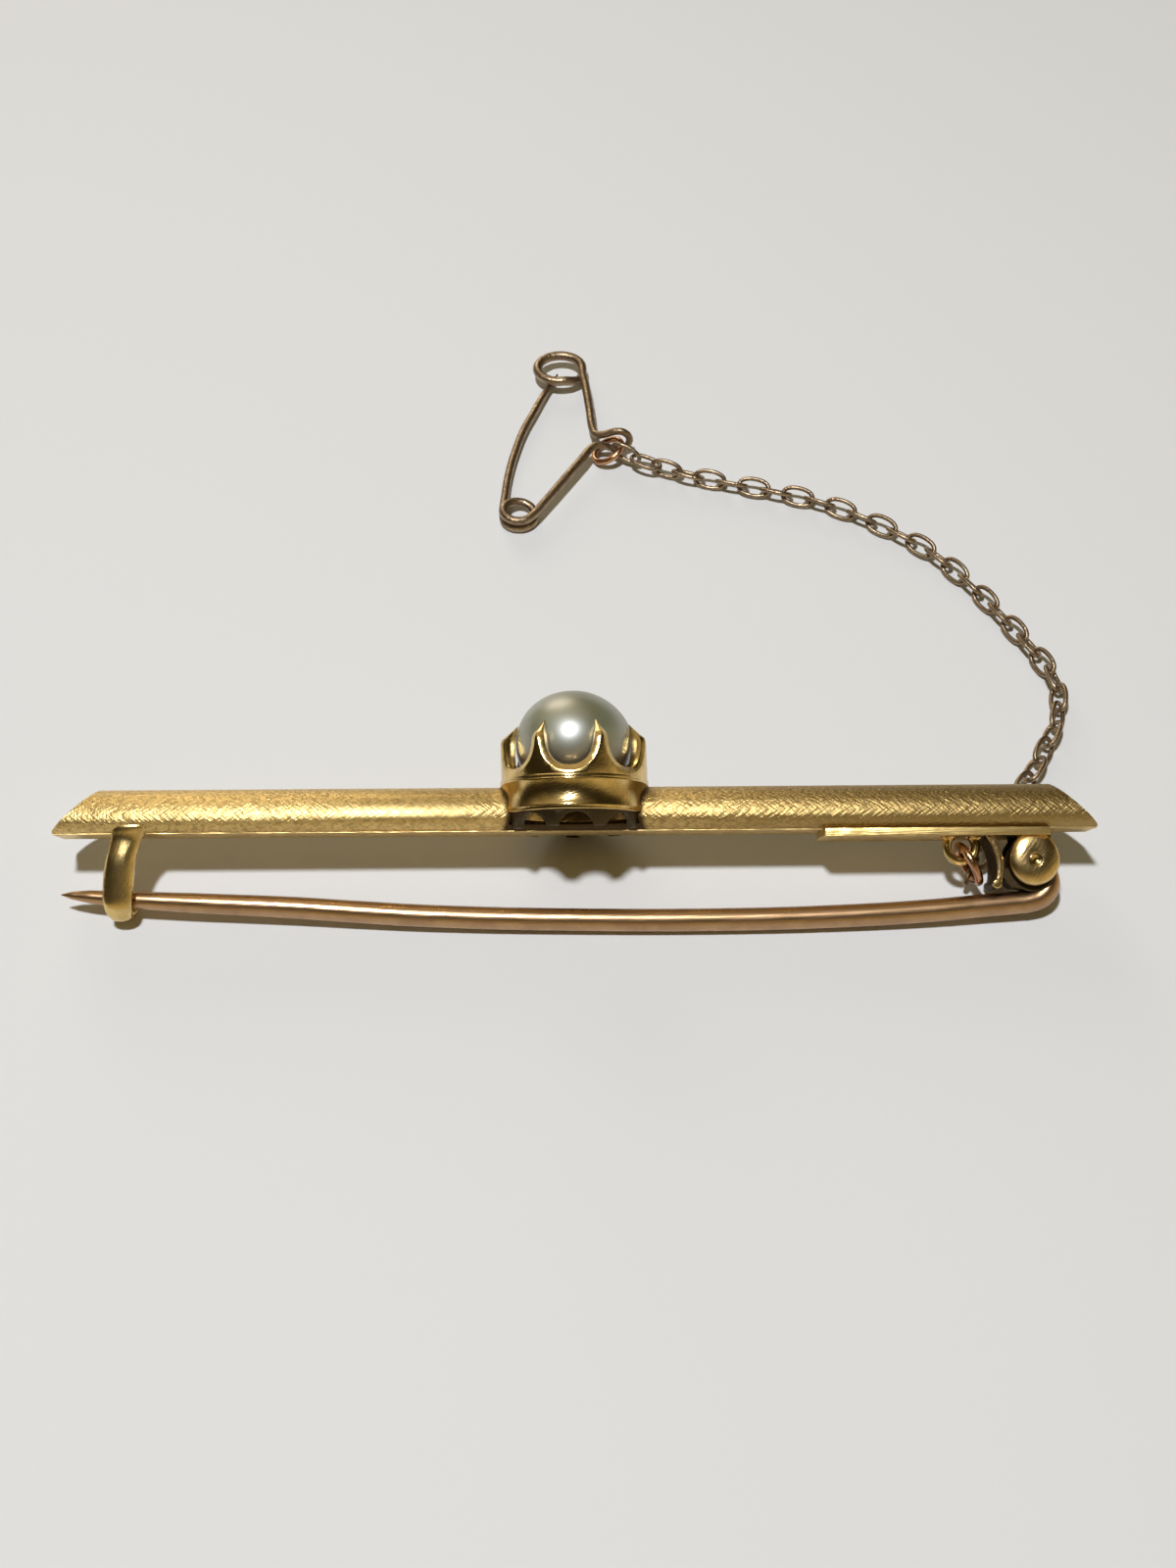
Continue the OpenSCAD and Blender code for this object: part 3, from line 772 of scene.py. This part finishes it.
class BROOCH_OT_setting(bpy.types.Operator):
    """Collet: open foot, hollowed spool with two flanges, and the ring of claws"""

    bl_idname = "brooch.setting"
    bl_label = "Setting"

    # Outside of the ring of claws: height and radius
    crown_side = [(2.42, 3.54), (4.42, 3.60), (5.20, 2.88)]
    # Gap between two claws, upwards from its middle: half width and height
    gap_side = [(0, 2.62), (0.30, 2.64), (0.58, 2.72), (0.86, 2.88), (1.11, 3.12), (1.31, 3.46), (1.43, 3.86),
                (1.49, 4.24), (1.51, 4.50), (1.52, 4.76), (1.50, 4.98), (1.48, 5.20), (1.48, 6.20)]
    first_gap = -3.65

    def execute(self, context):
        sizes = context.scene.brooch_sizes
        wall = mm(sizes.crown_wall)
        inside = mm(sizes.crown_radius) - wall
        polish = material_of(polished_gold)

        spool = turned("spool", self.spool_profile(inside), 128)
        soften(spool, 0.03, segments=2, angle=40)
        finished(spool, polish)

        crown = turned("claws", self.crown_profile(inside), 112)
        gap = self.gap_cutter(mm(sizes.claw_bevel))
        for i in range(sizes.claws):
            cut(crown, copied(gap, turn_by(self.first_gap + 360 * i / sizes.claws, "Z")))
        bpy.data.objects.remove(gap)
        weld(crown)
        soften(crown, 0.025, segments=2, angle=30)
        weld(crown)
        finished(crown, polish, smooth=28)

        foot = turned("open_foot", [
            (FOOT_RADIUS - wall, FOOT_HEIGHT), (FOOT_RADIUS, FOOT_HEIGHT), (3.50, 0.90), (3.26, 0.90)], 144)
        cut(foot, self.arches())
        soften(foot, 0.02, segments=2, angle=40)
        # The foot is painted dark as shade
        finished(foot, material_of(shade_dark_gold))
        return {"FINISHED"}

    def spool_profile(self, inside):
        """Inside, lower flange, hollowed waist, upper flange and the pearl's ledge."""
        waist, hollow, middle = 3.48, 1.6, 1.635
        profile = [(inside, 0.83), (3.53, 0.83), (3.56, 0.87), (3.56, 0.97)]
        for step in range(13):
            z = 1.04 + step * 0.105
            profile.append((waist + hollow - math.sqrt(hollow ** 2 - (z - middle) ** 2), z))
        profile += [(3.585, 2.335), (3.60, 2.38), (3.60, 2.47), (3.57, 2.52), (inside, 2.52)]
        ledge = [(inside, 2.25), (2.0, 2.25), (2.0, 1.93), (inside, 1.93)]
        return profile + ledge

    def crown_profile(self, inside):
        """Up the outside, over the tips and down the inside."""
        return [
            (inside, 2.42), (3.54, 2.42), (3.555, 2.9), (3.575, 3.4), (3.595, 3.9), (3.60, 4.25),
            (3.575, 4.42), (3.50, 4.56), (3.33, 4.74), (3.12, 4.95), (2.90, 5.16), (2.83, 5.20),
            (2.74, 5.19), (2.72, 5.14), (2.805, 4.86), (2.875, 4.56), (2.915, 4.30), (2.935, 3.9),
            (2.975, 3.4), (3.12, 2.9)]

    def side_radius(self, height):
        return float(np.interp(height, *zip(*self.crown_side)))

    def gap_outline(self, grow, claw_depth=0):
        """The gap's outline, made wider by grow all round; below the tips the claws are deeper inside."""
        tips, fade = 5.0, 0.6
        side = []
        rows = self.gap_side
        for i, (half_width, height) in enumerate(rows):
            before = rows[i - 1] if i else (-rows[1][0], rows[1][1])
            after = rows[i + 1] if i + 1 < len(rows) else (half_width, height + 1)
            along = Vector((after[0] - before[0], after[1] - before[1])).normalized()
            offset = grow - claw_depth * min(max((tips - height) / fade, 0), 1)
            side.append((half_width + along.y * offset, height - along.x * offset))
        return [(-w, h) for w, h in reversed(side[1:])] + side

    def gap_cutter(self, bevel):
        """Cutter for the front gap: it narrows inwards through the wall, which leaves the bright cut."""
        over, depth, inner_reach, front = 0.10, 0.13, 2.68, -4.4
        widest = bevel * over / depth
        loops = [drawn_line("gap_front", [(w, front, h) for w, h in self.gap_outline(widest)], closed=True)]
        half_way = ((over - depth) / 2, (widest - bevel) / 2)
        for out, grow, claw_depth in ((over, widest, 0), (*half_way, 0), (-depth, -bevel, 0), (None, -bevel, 0.2)):
            points = []
            for half_width, height in self.gap_outline(grow, claw_depth):
                reach = inner_reach if out is None else self.side_radius(height) + out
                points.append((half_width, -math.sqrt(reach ** 2 - half_width ** 2), height))
            loops.append(drawn_line("gap_layer", points, closed=True))
        cutter = lofted("gap", loops)
        with Editing(cutter):
            bpy.ops.mesh.quads_convert_to_tris()
        return cutter

    def arches(self):
        """Cutters for the arches of the open foot."""
        count, first_foot, arch_radius, arch_height, reach = 9, 22, 0.84, -0.1, 3.5
        cutters = []
        for i in range(count):
            turn = math.radians(first_foot + 360 * (i + 0.5) / count)
            middle = Vector((math.sin(turn), -math.cos(turn), 0)) * reach
            cutters.append(started(
                f"arch_{i}", bpy.ops.mesh.primitive_cylinder_add, vertices=48, radius=arch_radius, depth=3,
                location=(middle.x, middle.y, arch_height), rotation=(math.pi / 2, 0, turn)))
        return joined(*cutters)


class BROOCH_OT_pearl(bpy.types.Operator):
    """Pearl, a little flattened towards its top and fuller where the claws hold it"""

    bl_idname = "brooch.pearl"
    bl_label = "Pearl"

    def execute(self, context):
        centre = Vector((0, 0, 4.34))
        flat_side = Vector((0.3, -0.1, 0.95)).normalized()
        press, fuller = 0.03, 1.05
        pearl = started(
            "pearl_bead", bpy.ops.mesh.primitive_ico_sphere_add, subdivisions=6,
            radius=mm(context.scene.brooch_sizes.pearl_radius), location=centre)
        for reach in (0.45, 0.65, 0.82):
            with Editing(pearl):
                pick(pearl, lambda place: (place - centre).normalized() @ flat_side > reach)
                bpy.ops.transform.translate(value=-flat_side * press)
        with Editing(pearl):
            bpy.ops.mesh.vertices_smooth(factor=0.5, repeat=30)
            bpy.ops.transform.resize(value=(fuller, fuller, 1), center_override=centre)
        finished(pearl, material_of(pearl_nacre), "pearl", smooth=180)
        return {"FINISHED"}


class BROOCH_OT_hinge(bpy.types.Operator):
    """Plate, domed ears, rivet, curved stop and eyelet at the right end"""

    bl_idname = "brooch.hinge"
    bl_label = "Hinge"

    def execute(self, context):
        polish = material_of(polished_gold)
        hinge = material_of(hinge_gold)
        finished(self.base_plate(), material_of(plate_gold))
        finished(self.ears(), hinge)
        finished(self.stop(), hinge)
        finished(self.eyelet(), polish)
        finished(self.rivet(), polish, node="hinge_rivet")
        return {"FINISHED"}

    def base_plate(self):
        """Plate with a round left end, sunk a little into the bar's back by its solder."""
        half_width, end_roundness, thickness, sunk = 1.44, 0.14, 0.35, 0.04
        left, right = HINGE_X - 10.2, HINGE_X + 0.72
        middle = left + end_roundness * half_width
        plate = started(
            "base_plate", bpy.ops.mesh.primitive_cylinder_add, vertices=64, radius=half_width,
            depth=thickness + sunk, location=(middle, 0, (sunk - thickness) / 2), scale=(end_roundness, 1, 1))
        with Editing(plate):
            pick(plate, lambda place: place.x > middle + 0.01)
            bpy.ops.transform.resize(value=(0, 1, 1), center_override=(middle + 0.05, 0, 0))
            bpy.ops.transform.translate(value=(right - middle - 0.05, 0, 0))
        soften(plate, 0.08, segments=3, angle=50)
        return plate

    def ears(self):
        """Two ears with a domed and dimpled outer face, each on its neck."""
        radius, inside, thickness, dome, hole, flat = 1.22, 0.66, 0.42, 0.24, 0.31, 0.36
        full, roll = thickness + dome, thickness - 0.1
        profile = [(hole, 0), (radius - 0.04, 0), (radius, 0.04)]
        for step in range(11):
            turn = math.pi / 2 * step / 10
            reach = flat + (radius - flat) * math.cos(turn) ** 0.9
            profile.append((reach, roll + (full - roll) * math.sin(turn)))
        profile.append((hole, full - 0.01))
        ear = turned("hinge_ears", profile, 72)
        pieces = []
        for side in (-1, 1):
            pieces.append(copied(ear, turn_by(-side * 90, "X"), (HINGE_X, side * inside, -HINGE_DROP)))
            pieces.append(started(
                "neck", bpy.ops.mesh.primitive_cube_add, size=1,
                location=(HINGE_X, side * (inside + thickness / 2), -0.60), scale=(1.7, thickness - 0.06, 0.62)))
            soften(pieces[-1], 0.13, segments=4)
        bpy.data.objects.remove(ear)
        ears = joined(*pieces)
        ears.name = "hinge_ears"
        shoulder, taller = 0.3 - HINGE_DROP, 1.22
        stretch(ears, lambda place: place.z > shoulder, (1, 1, taller), (HINGE_X, 0, shoulder))
        soften(ears, 0.03, segments=2, angle=50)
        return ears

    def stop(self):
        """Curved plate beside the hinge, with a rounded foot."""
        radius, thickness, half_width, foot_radius = 2.68, 0.3, 1.2, 0.22
        middle = Vector((HINGE_X - 4.19, 0, -1.84))
        low, high = math.radians(-17), math.radians(41)
        ends = [middle + Vector((math.cos(low), 0, math.sin(low))) * r for r in (radius - thickness, radius)]
        plate = drawn_line("stop_plate", [Vector((end.x, -half_width, end.z)) for end in ends])
        with Editing(plate):
            bpy.ops.mesh.spin(steps=16, angle=high - low, center=middle, axis=(0, 1, 0))
            bpy.ops.mesh.select_all(action="SELECT")
            bpy.ops.mesh.extrude_region_move(TRANSFORM_OT_translate={"value": (0, 2 * half_width, 0)})
        weld(plate)
        foot = started(
            "stop_foot", bpy.ops.mesh.primitive_cylinder_add, vertices=32, radius=foot_radius,
            depth=2 * half_width, location=(HINGE_X - 1.83, 0, -2.66), rotation=(math.pi / 2, 0, 0))
        plate = joined(plate, foot)
        soften(plate, 0.06, segments=3, angle=50)
        return plate

    def eyelet(self):
        """Wire ring whose top is drawn out to meet the plate."""
        ring = started(
            "eyelet", bpy.ops.mesh.primitive_torus_add, major_radius=0.69, minor_radius=0.22,
            major_segments=64, minor_segments=24, location=EYELET, rotation=(math.pi / 2, 0, 0))
        stretch(ring, lambda place: place.z > -0.45, (1.25, 1.35, 1), (*EYELET[:2], -0.3))
        return ring

    def rivet(self):
        """Rivet with a shallow dimple in each head."""
        top = [(0, 1.235), (0.08, 1.24), (0.15, 1.262), (0.20, 1.288), (0.24, 1.302), (0.27, 1.303), (0.30, 1.285)]
        rivet = turned("rivet", top + [(r, -z) for r, z in reversed(top)], 40, closed=False)
        moved(rivet, turn_by(90, "X"), (HINGE_X, 0, -HINGE_DROP))
        return rivet


class BROOCH_OT_catch(bpy.types.Operator):
    """Half-round hook at the left end"""

    bl_idname = "brooch.catch"
    bl_label = "Catch"

    catch_x = -21.85
    # Edges of the strip seen from its side: height, left and right
    strip_edges = [(-4.2, -0.18, 0.22), (-4.02, -0.46, 0.47), (-3.6, -0.65, 0.65), (-2.9, -0.74, 0.72),
                   (-1.9, -0.69, 0.79), (-1.1, -0.55, 0.88), (-0.45, -0.38, 1.05), (0.1, -0.30, 1.34),
                   (0.35, -0.15, 1.42), (0.47, 0.0, 1.32), (0.55, 0.25, 1.1)]
    # Leg from the bar down to the bend: y, height, half thickness
    leg_rows = [(-1.34, 0.54, 0.05), (-1.35, 0.49, 0.12), (-1.33, 0.40, 0.20), (-1.27, 0.24, 0.25),
                (-1.17, 0.06, 0.27), (-1.08, -0.12, 0.28), (-1.04, -0.34, 0.31), (-1.02, -0.60, 0.35),
                (-1.01, -0.90, 0.39), (-1.0, -1.3, 0.42), (-0.97, -1.8, 0.40), (-0.93, -2.4, 0.33)]

    def execute(self, context):
        bend_height, bend_radius, half_thickness, lip_drop = -2.98, 0.895, 0.275, 0.075
        stations = [(y, z, thick, 0.0) for y, z, thick in self.leg_rows]
        for step in range(13):
            angle = math.pi * step / 12
            lip = lip_drop * max(0, step - 8) / 4
            stations.append((
                -bend_radius * math.cos(angle), bend_height - bend_radius * math.sin(angle) - lip,
                half_thickness, angle))
        heights, lefts, rights = zip(*self.strip_edges)
        rings = []
        for i, (y, z, thick, angle) in enumerate(stations):
            left = float(np.interp(z, heights, lefts))
            right = float(np.interp(z, heights, rights))
            rings.append(added(
                f"ring_{i}", bpy.ops.mesh.primitive_circle_add, vertices=28, radius=1,
                location=(self.catch_x + (left + right) / 2, y, z), rotation=(angle, 0, 0)))
            rings[-1].scale = ((right - left) / 2, thick, 1)
            apply_place(rings[-1])
        hook = lofted("catch_hook", rings)
        soften(hook, 0.12, segments=3, angle=60)
        finished(hook, material_of(catch_gold), smooth=60)
        return {"FINISHED"}


class BROOCH_OT_pin(bpy.types.Operator):
    """Long pointed pin and the knuckle that it turns on"""

    bl_idname = "brooch.pin"
    bl_label = "Pin"

    # How far the point stays inside the bar's end
    point_inset = 0.22
    # Part of the way from the point to the hinge, depth below the bar's back, radius
    stem_rows = [
        (0.000, 2.80, 0.03), (0.012, 2.84, 0.20), (0.030, 2.91, 0.32), (0.060, 3.03, 0.395), (0.090, 3.12, 0.44),
        (0.14, 3.25, 0.49), (0.24, 3.50, 0.53), (0.31, 3.74, 0.545), (0.38, 3.95, 0.55), (0.54, 4.18, 0.555),
        (0.68, 4.22, 0.56), (0.80, 4.10, 0.56), (0.90, 3.85, 0.56), (0.955, 3.62, 0.56)]
    # Heel, measured from the hinge: along the bar, depth, radius
    heel_rows = [(-0.72, 3.51, 0.55), (-0.05, 3.42, 0.56), (0.5, 3.20, 0.56), (0.84, 2.80, 0.54),
                 (0.9, 2.3, 0.5), (0.72, 1.85, 0.42)]
    knuckle_profile = [(0.33, -0.58), (1.07, -0.58), (1.11, -0.54), (1.11, 0.54), (1.07, 0.58), (0.33, 0.58)]

    def execute(self, context):
        point_x = self.point_inset - mm(context.scene.brooch_sizes.bar_length) / 2
        reach = HINGE_X - point_x
        rows = [(point_x + share * reach, 0, -depth, radius) for share, depth, radius in self.stem_rows]
        rows += [(HINGE_X + along, 0, -depth, radius) for along, depth, radius in self.heel_rows]
        stem = drawn_wire("pin_wire", rows, sides=7, steps=8)
        finished(stem, material_of(drawn_rose_gold), "pin_stem", body="pin", smooth=50)
        # The knuckle is painted dark as shade
        finished(self.knuckle(), material_of(shade_dark_gold), "pin_stem", body="pin")
        return {"FINISHED"}

    def knuckle(self):
        """Round knuckle, drawn down and back to where the heel joins it."""
        knuckle = turned("knuckle", self.knuckle_profile, 72)
        moved(knuckle, turn_by(90, "X"), (HINGE_X, 0, -HINGE_DROP))
        for depth, wider, longer in ((-1.75, 1.06, 1.16), (-2.1, 1.06, 1.18)):
            stretch(knuckle, lambda place: place.z < depth, (wider, 1, longer), (HINGE_X, 0, depth + 0.3))
        with Editing(knuckle):
            pick(knuckle, lambda place: place.z < -1.9 and place.x < HINGE_X - 0.55)
            bpy.ops.transform.translate(value=(-0.4, 0, 0))
        return knuckle


class BROOCH_OT_rings(bpy.types.Operator):
    """Jump rings at both ends of the chain"""

    bl_idname = "brooch.rings"
    bl_label = "Jump rings"

    def execute(self, context):
        copper = material_of(copper_gold)
        near_radius, end_radius = 0.98, 0.9
        slope = Vector((0.458, 0, -0.889))
        lean = math.radians(24)
        near = self.ring("near_ring", near_radius, 0.205)
        hang = math.cos(lean) * slope + math.sin(lean) * Vector((0, 1, 0))
        turn = Matrix.Rotation(math.atan2(-slope.z, slope.x), 4, "Y")
        moved(near, turn @ turn_by(150, "Z"), Vector(EYELET) + near_radius * hang)
        finished(near, copper, "bar_ring", smooth=60)
        end = self.ring("end_ring", end_radius, 0.185)
        moved(end, turn_by(-5, "Z") @ turn_by(-29, "Y") @ turn_by(75, "Z"), (1.97, 29.56, 0.61))
        finished(end, copper, "far_ring", lying=False, smooth=60)
        return {"FINISHED"}

    def ring(self, name, radius, wire):
        """Ring of wire with the closed joint pinched in."""
        segments = 72
        ring = started(
            name, bpy.ops.mesh.primitive_torus_add, major_radius=radius, minor_radius=wire,
            major_segments=segments, minor_segments=20)
        half_step = 0.5 * math.tau * radius / segments
        stretch(ring, lambda place: place.x > 0 and abs(place.y) < half_step, (0.97, 1, 0.86), (radius, 0, 0))
        return ring


class BROOCH_OT_chain(bpy.types.Operator):
    """Oval links, each where the frame holds it"""

    bl_idname = "brooch.chain"
    bl_label = "Chain"

    def execute(self, context):
        sizes = context.scene.brooch_sizes
        link = self.link(mm(sizes.link_length), mm(sizes.link_width), mm(sizes.link_wire))
        chain = joined(*[copied(link, place) for place in self.resting_places()])
        bpy.data.objects.remove(link)
        chain.name = "chain_links"
        finished(chain, material_of(worn_rose_gold), "chain", lying=False, smooth=60)
        return {"FINISHED"}

    def link(self, length, width, wire):
        """One oval of round wire."""
        link = added("link", bpy.ops.curve.primitive_bezier_circle_add, radius=1)
        with Editing(link):
            bpy.ops.curve.select_all(action="SELECT")
            bpy.ops.transform.resize(value=(length, width, 1))
        return round_wire(link, wire, sides=4, steps=9)

    def resting_places(self):
        """Place and directions of every link in the frame's chain, on the bench."""
        clear_bench()
        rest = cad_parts["chain"].copy()
        rest.data = rest.data.copy()
        bpy.context.scene.collection.objects.link(rest)
        rest.parent = None
        rest.hide_viewport = False
        with Editing(rest):
            bpy.ops.mesh.remove_doubles(threshold=WELD * BENCH_UNIT)
            bpy.ops.mesh.separate(type="LOOSE")
        places = []
        for part in list(bpy.context.selected_objects):
            points = np.array([point.co for point in part.data.vertices]) / BENCH_UNIT
            middle = points.mean(axis=0)
            _, ways = np.linalg.eigh(np.cov((points - middle).T))
            along, across = Vector(ways[:, 2]), Vector(ways[:, 1])
            turn = Matrix((along, across, along.cross(across))).transposed().to_4x4()
            middle = Vector(middle) + Vector((CENTRE_X, CENTRE_Y, 0))
            places.append(Matrix.Translation(middle) @ turn)
            bpy.data.objects.remove(part)
        return places


class BROOCH_OT_safety_pin(bpy.types.Operator):
    """Small safety pin bent from one wire"""

    bl_idname = "brooch.safety_pin"
    bl_label = "Safety pin"

    # All columns are x, y, height and radius
    point_leg = [
        (-1.02, 36.60, 0.45, 0.05), (-1.42, 35.70, 0.42, 0.18), (-1.88, 34.65, 0.43, 0.22),
        (-2.46, 33.10, 0.42, 0.24), (-3.02, 31.60, 0.38, 0.25), (-3.47, 29.87, 0.34, 0.25),
        (-3.80, 28.15, 0.31, 0.25), (-4.00, 26.30, 0.27, 0.25)]
    back_leg = [
        (-1.72, 25.00, 0.81, 0.26), (-0.50, 27.00, 0.85, 0.27), (0.52, 28.66, 0.90, 0.26),
        (0.95, 29.38, 0.93, 0.24), (1.30, 29.66, 0.94, 0.22), (1.75, 29.74, 0.84, 0.21),
        (2.20, 29.80, 0.58, 0.21), (2.70, 29.92, 0.38, 0.21), (3.12, 30.04, 0.62, 0.21),
        (3.24, 30.12, 1.05, 0.21), (2.95, 30.20, 1.42, 0.21), (2.50, 30.26, 1.48, 0.21),
        (2.05, 30.32, 1.30, 0.21), (1.64, 30.38, 1.12, 0.22), (1.28, 30.56, 0.98, 0.24),
        (1.12, 31.00, 0.93, 0.25), (0.92, 32.80, 0.92, 0.26), (0.72, 34.70, 0.91, 0.26),
        (0.52, 36.10, 0.90, 0.25)]

    def execute(self, context):
        rows = self.point_leg + self.coil() + self.back_leg + self.head()
        pin = drawn_wire("clasp_pin", rows, sides=5, steps=5)
        finished(pin, material_of(worn_rose_gold), "safety_pin", lying=False, smooth=60)
        return {"FINISHED"}

    def coil(self):
        """The spring: almost one turn and a half, rising onto itself."""
        rows = []
        for turn in range(180, 691, 30):
            rise = min(max((turn - 340) / 190, 0), 1)
            angle = math.radians(turn)
            rows.append((-3.17 + 0.90 * math.cos(angle), 24.42 + 0.90 * math.sin(angle), 0.25 + 0.55 * rise, 0.25))
        return rows

    def head(self):
        """The round head, whose end dips under its start."""
        rows = []
        for turn in range(10, 361, 25):
            angle = math.radians(turn)
            under = 0.5 * min(max((turn - 285) / 60, 0), 1)
            rows.append((-0.88 + 1.36 * math.cos(angle), 36.62 + 1.20 * math.sin(angle), 0.90 - under, 0.28))
        return rows


class BROOCH_OT_stage(bpy.types.Operator):
    """Pale floor, soft lights and the camera"""

    bl_idname = "brooch.stage"
    bl_label = "Stage"

    camera_place = (0.000219, -0.072031, 0.077111)
    camera_down = 52
    camera_roll = -0.41
    dim_light = (0.118, 0.098, 0.042)
    bright_side = (-0.32, 0.5, 0.8)
    # What reflections see, from straight away from the bright side to straight towards it
    mirrored_room = [
        (0, (0.26, 0.21, 0.11)), (0.30, (0.62, 0.52, 0.30)), (0.47, (0.38, 0.315, 0.18)),
        (0.60, (0.045, 0.036, 0.018)), (0.80, (0.024, 0.019, 0.010)), (0.87, (0.13, 0.105, 0.06)),
        (0.93, (0.28, 0.235, 0.15)), (1, (0.58, 0.50, 0.35))]

    def execute(self, context):
        self.floor()
        self.light("overhead", place=(-0.055, -0.06, 0.38), size=0.036, power=1.23, colour=(0.90, 0.94, 0.98))
        self.light("low", place=(-0.14, 0.44, 0.18), size=0.26, power=0.50, colour=(1.0, 0.90, 0.72))
        self.surroundings()
        self.camera()
        context.scene.view_settings.view_transform = "Standard"
        return {"FINISHED"}

    def floor(self):
        floor = added("floor", bpy.ops.mesh.primitive_plane_add, size=1.6)
        floor.data.materials.append(material_of(pale_surface))

    def light(self, name, place, size, power, colour):
        """A round soft light that faces the brooch."""
        light = added(name, bpy.ops.object.light_add, type="AREA", location=place)
        light.data.shape = "DISK"
        light.data.size = size
        light.data.energy = power
        light.data.color = colour
        light.rotation_euler = (-Vector(place)).to_track_quat("-Z", "Y").to_euler()

    def surroundings(self):
        """Warm dim room. In reflections a dark belt parts its bright side from its lit lower part."""
        world = bpy.data.worlds.new("soft surroundings")
        world.use_nodes = True
        tree = world.node_tree
        fill = tree.nodes["Background"]
        fill.inputs["Color"].default_value = opaque(self.dim_light)
        way = add_node(tree, "ShaderNodeTexCoord", -1100, 0).outputs["Generated"]
        toward_bright = add_node(tree, "ShaderNodeVectorMath", -900, 100, {
            0: way, 1: self.bright_side}, operation="DOT_PRODUCT")
        share = add_range(tree, -700, 100, toward_bright.outputs["Value"], -1, 1, smooth=False)
        patches = add_noise(tree, -900, -100, way, 2.2, 1)
        shift = add_range(tree, -700, -100, patches, 0, 1, low=-0.05, high=0.05, smooth=False)
        walls = add_node(tree, "ShaderNodeValToRGB", -300, 0, {"Fac": add_math(tree, "ADD", -500, 0, share, shift)})
        ramp = walls.color_ramp
        for end, (_, colour) in zip(ramp.elements, (self.mirrored_room[0], self.mirrored_room[-1])):
            end.color = opaque(colour)
        for place, colour in self.mirrored_room[1:-1]:
            ramp.elements.new(place).color = opaque(colour)
        mirrored = add_node(tree, "ShaderNodeBackground", 0, -150, {"Color": walls.outputs["Color"]})
        ray = add_node(tree, "ShaderNodeLightPath", 0, 300)
        chosen = add_node(tree, "ShaderNodeMixShader", 250, 0, {
            0: ray.outputs["Is Glossy Ray"], 1: fill.outputs["Background"], 2: mirrored.outputs["Background"]})
        feed(tree, tree.nodes["World Output"].inputs["Surface"], chosen.outputs["Shader"])
        bpy.context.scene.world = world

    def camera(self):
        camera = added("camera", bpy.ops.object.camera_add)
        tilt = turn_by(90 - self.camera_down, "X")
        camera.matrix_world = Matrix.Translation(self.camera_place) @ tilt @ turn_by(self.camera_roll, "Z")
        camera.data.lens = PHOTO_LENS
        camera.data.sensor_width = PHOTO_SENSOR
        camera.data.clip_start = 0.005
        bpy.context.scene.camera = camera


class BROOCH_PT_panel(bpy.types.Panel):
    """Sizes, colours and pieces of the brooch"""

    bl_label = "Pearl bar brooch"
    bl_idname = "BROOCH_PT_panel"
    bl_space_type = "VIEW_3D"
    bl_region_type = "UI"
    bl_category = "Brooch"

    def draw(self, context):
        layout = self.layout
        for group in (context.scene.brooch_sizes, context.scene.brooch_colours):
            box = layout.box()
            for name in group.__annotations__:
                box.prop(group, name)
        for piece in PIECES:
            layout.operator(piece.bl_idname)


PIECES = (
    BROOCH_OT_bar, BROOCH_OT_setting, BROOCH_OT_pearl, BROOCH_OT_hinge, BROOCH_OT_catch, BROOCH_OT_pin,
    BROOCH_OT_rings, BROOCH_OT_chain, BROOCH_OT_safety_pin, BROOCH_OT_stage)
CLASSES = (BroochSizes, BroochColours, *PIECES, BROOCH_PT_panel)


def register():
    for item in CLASSES:
        bpy.utils.register_class(item)
    bpy.types.Scene.brooch_sizes = PointerProperty(type=BroochSizes)
    bpy.types.Scene.brooch_colours = PointerProperty(type=BroochColours)


def unregister():
    del bpy.types.Scene.brooch_sizes
    del bpy.types.Scene.brooch_colours
    for item in reversed(CLASSES):
        bpy.utils.unregister_class(item)


def main():
    register()
    for piece in PIECES:
        operator = getattr(bpy.ops.brooch, piece.bl_idname.split(".")[1])
        operator()


if __name__ == "__main__":
    main()
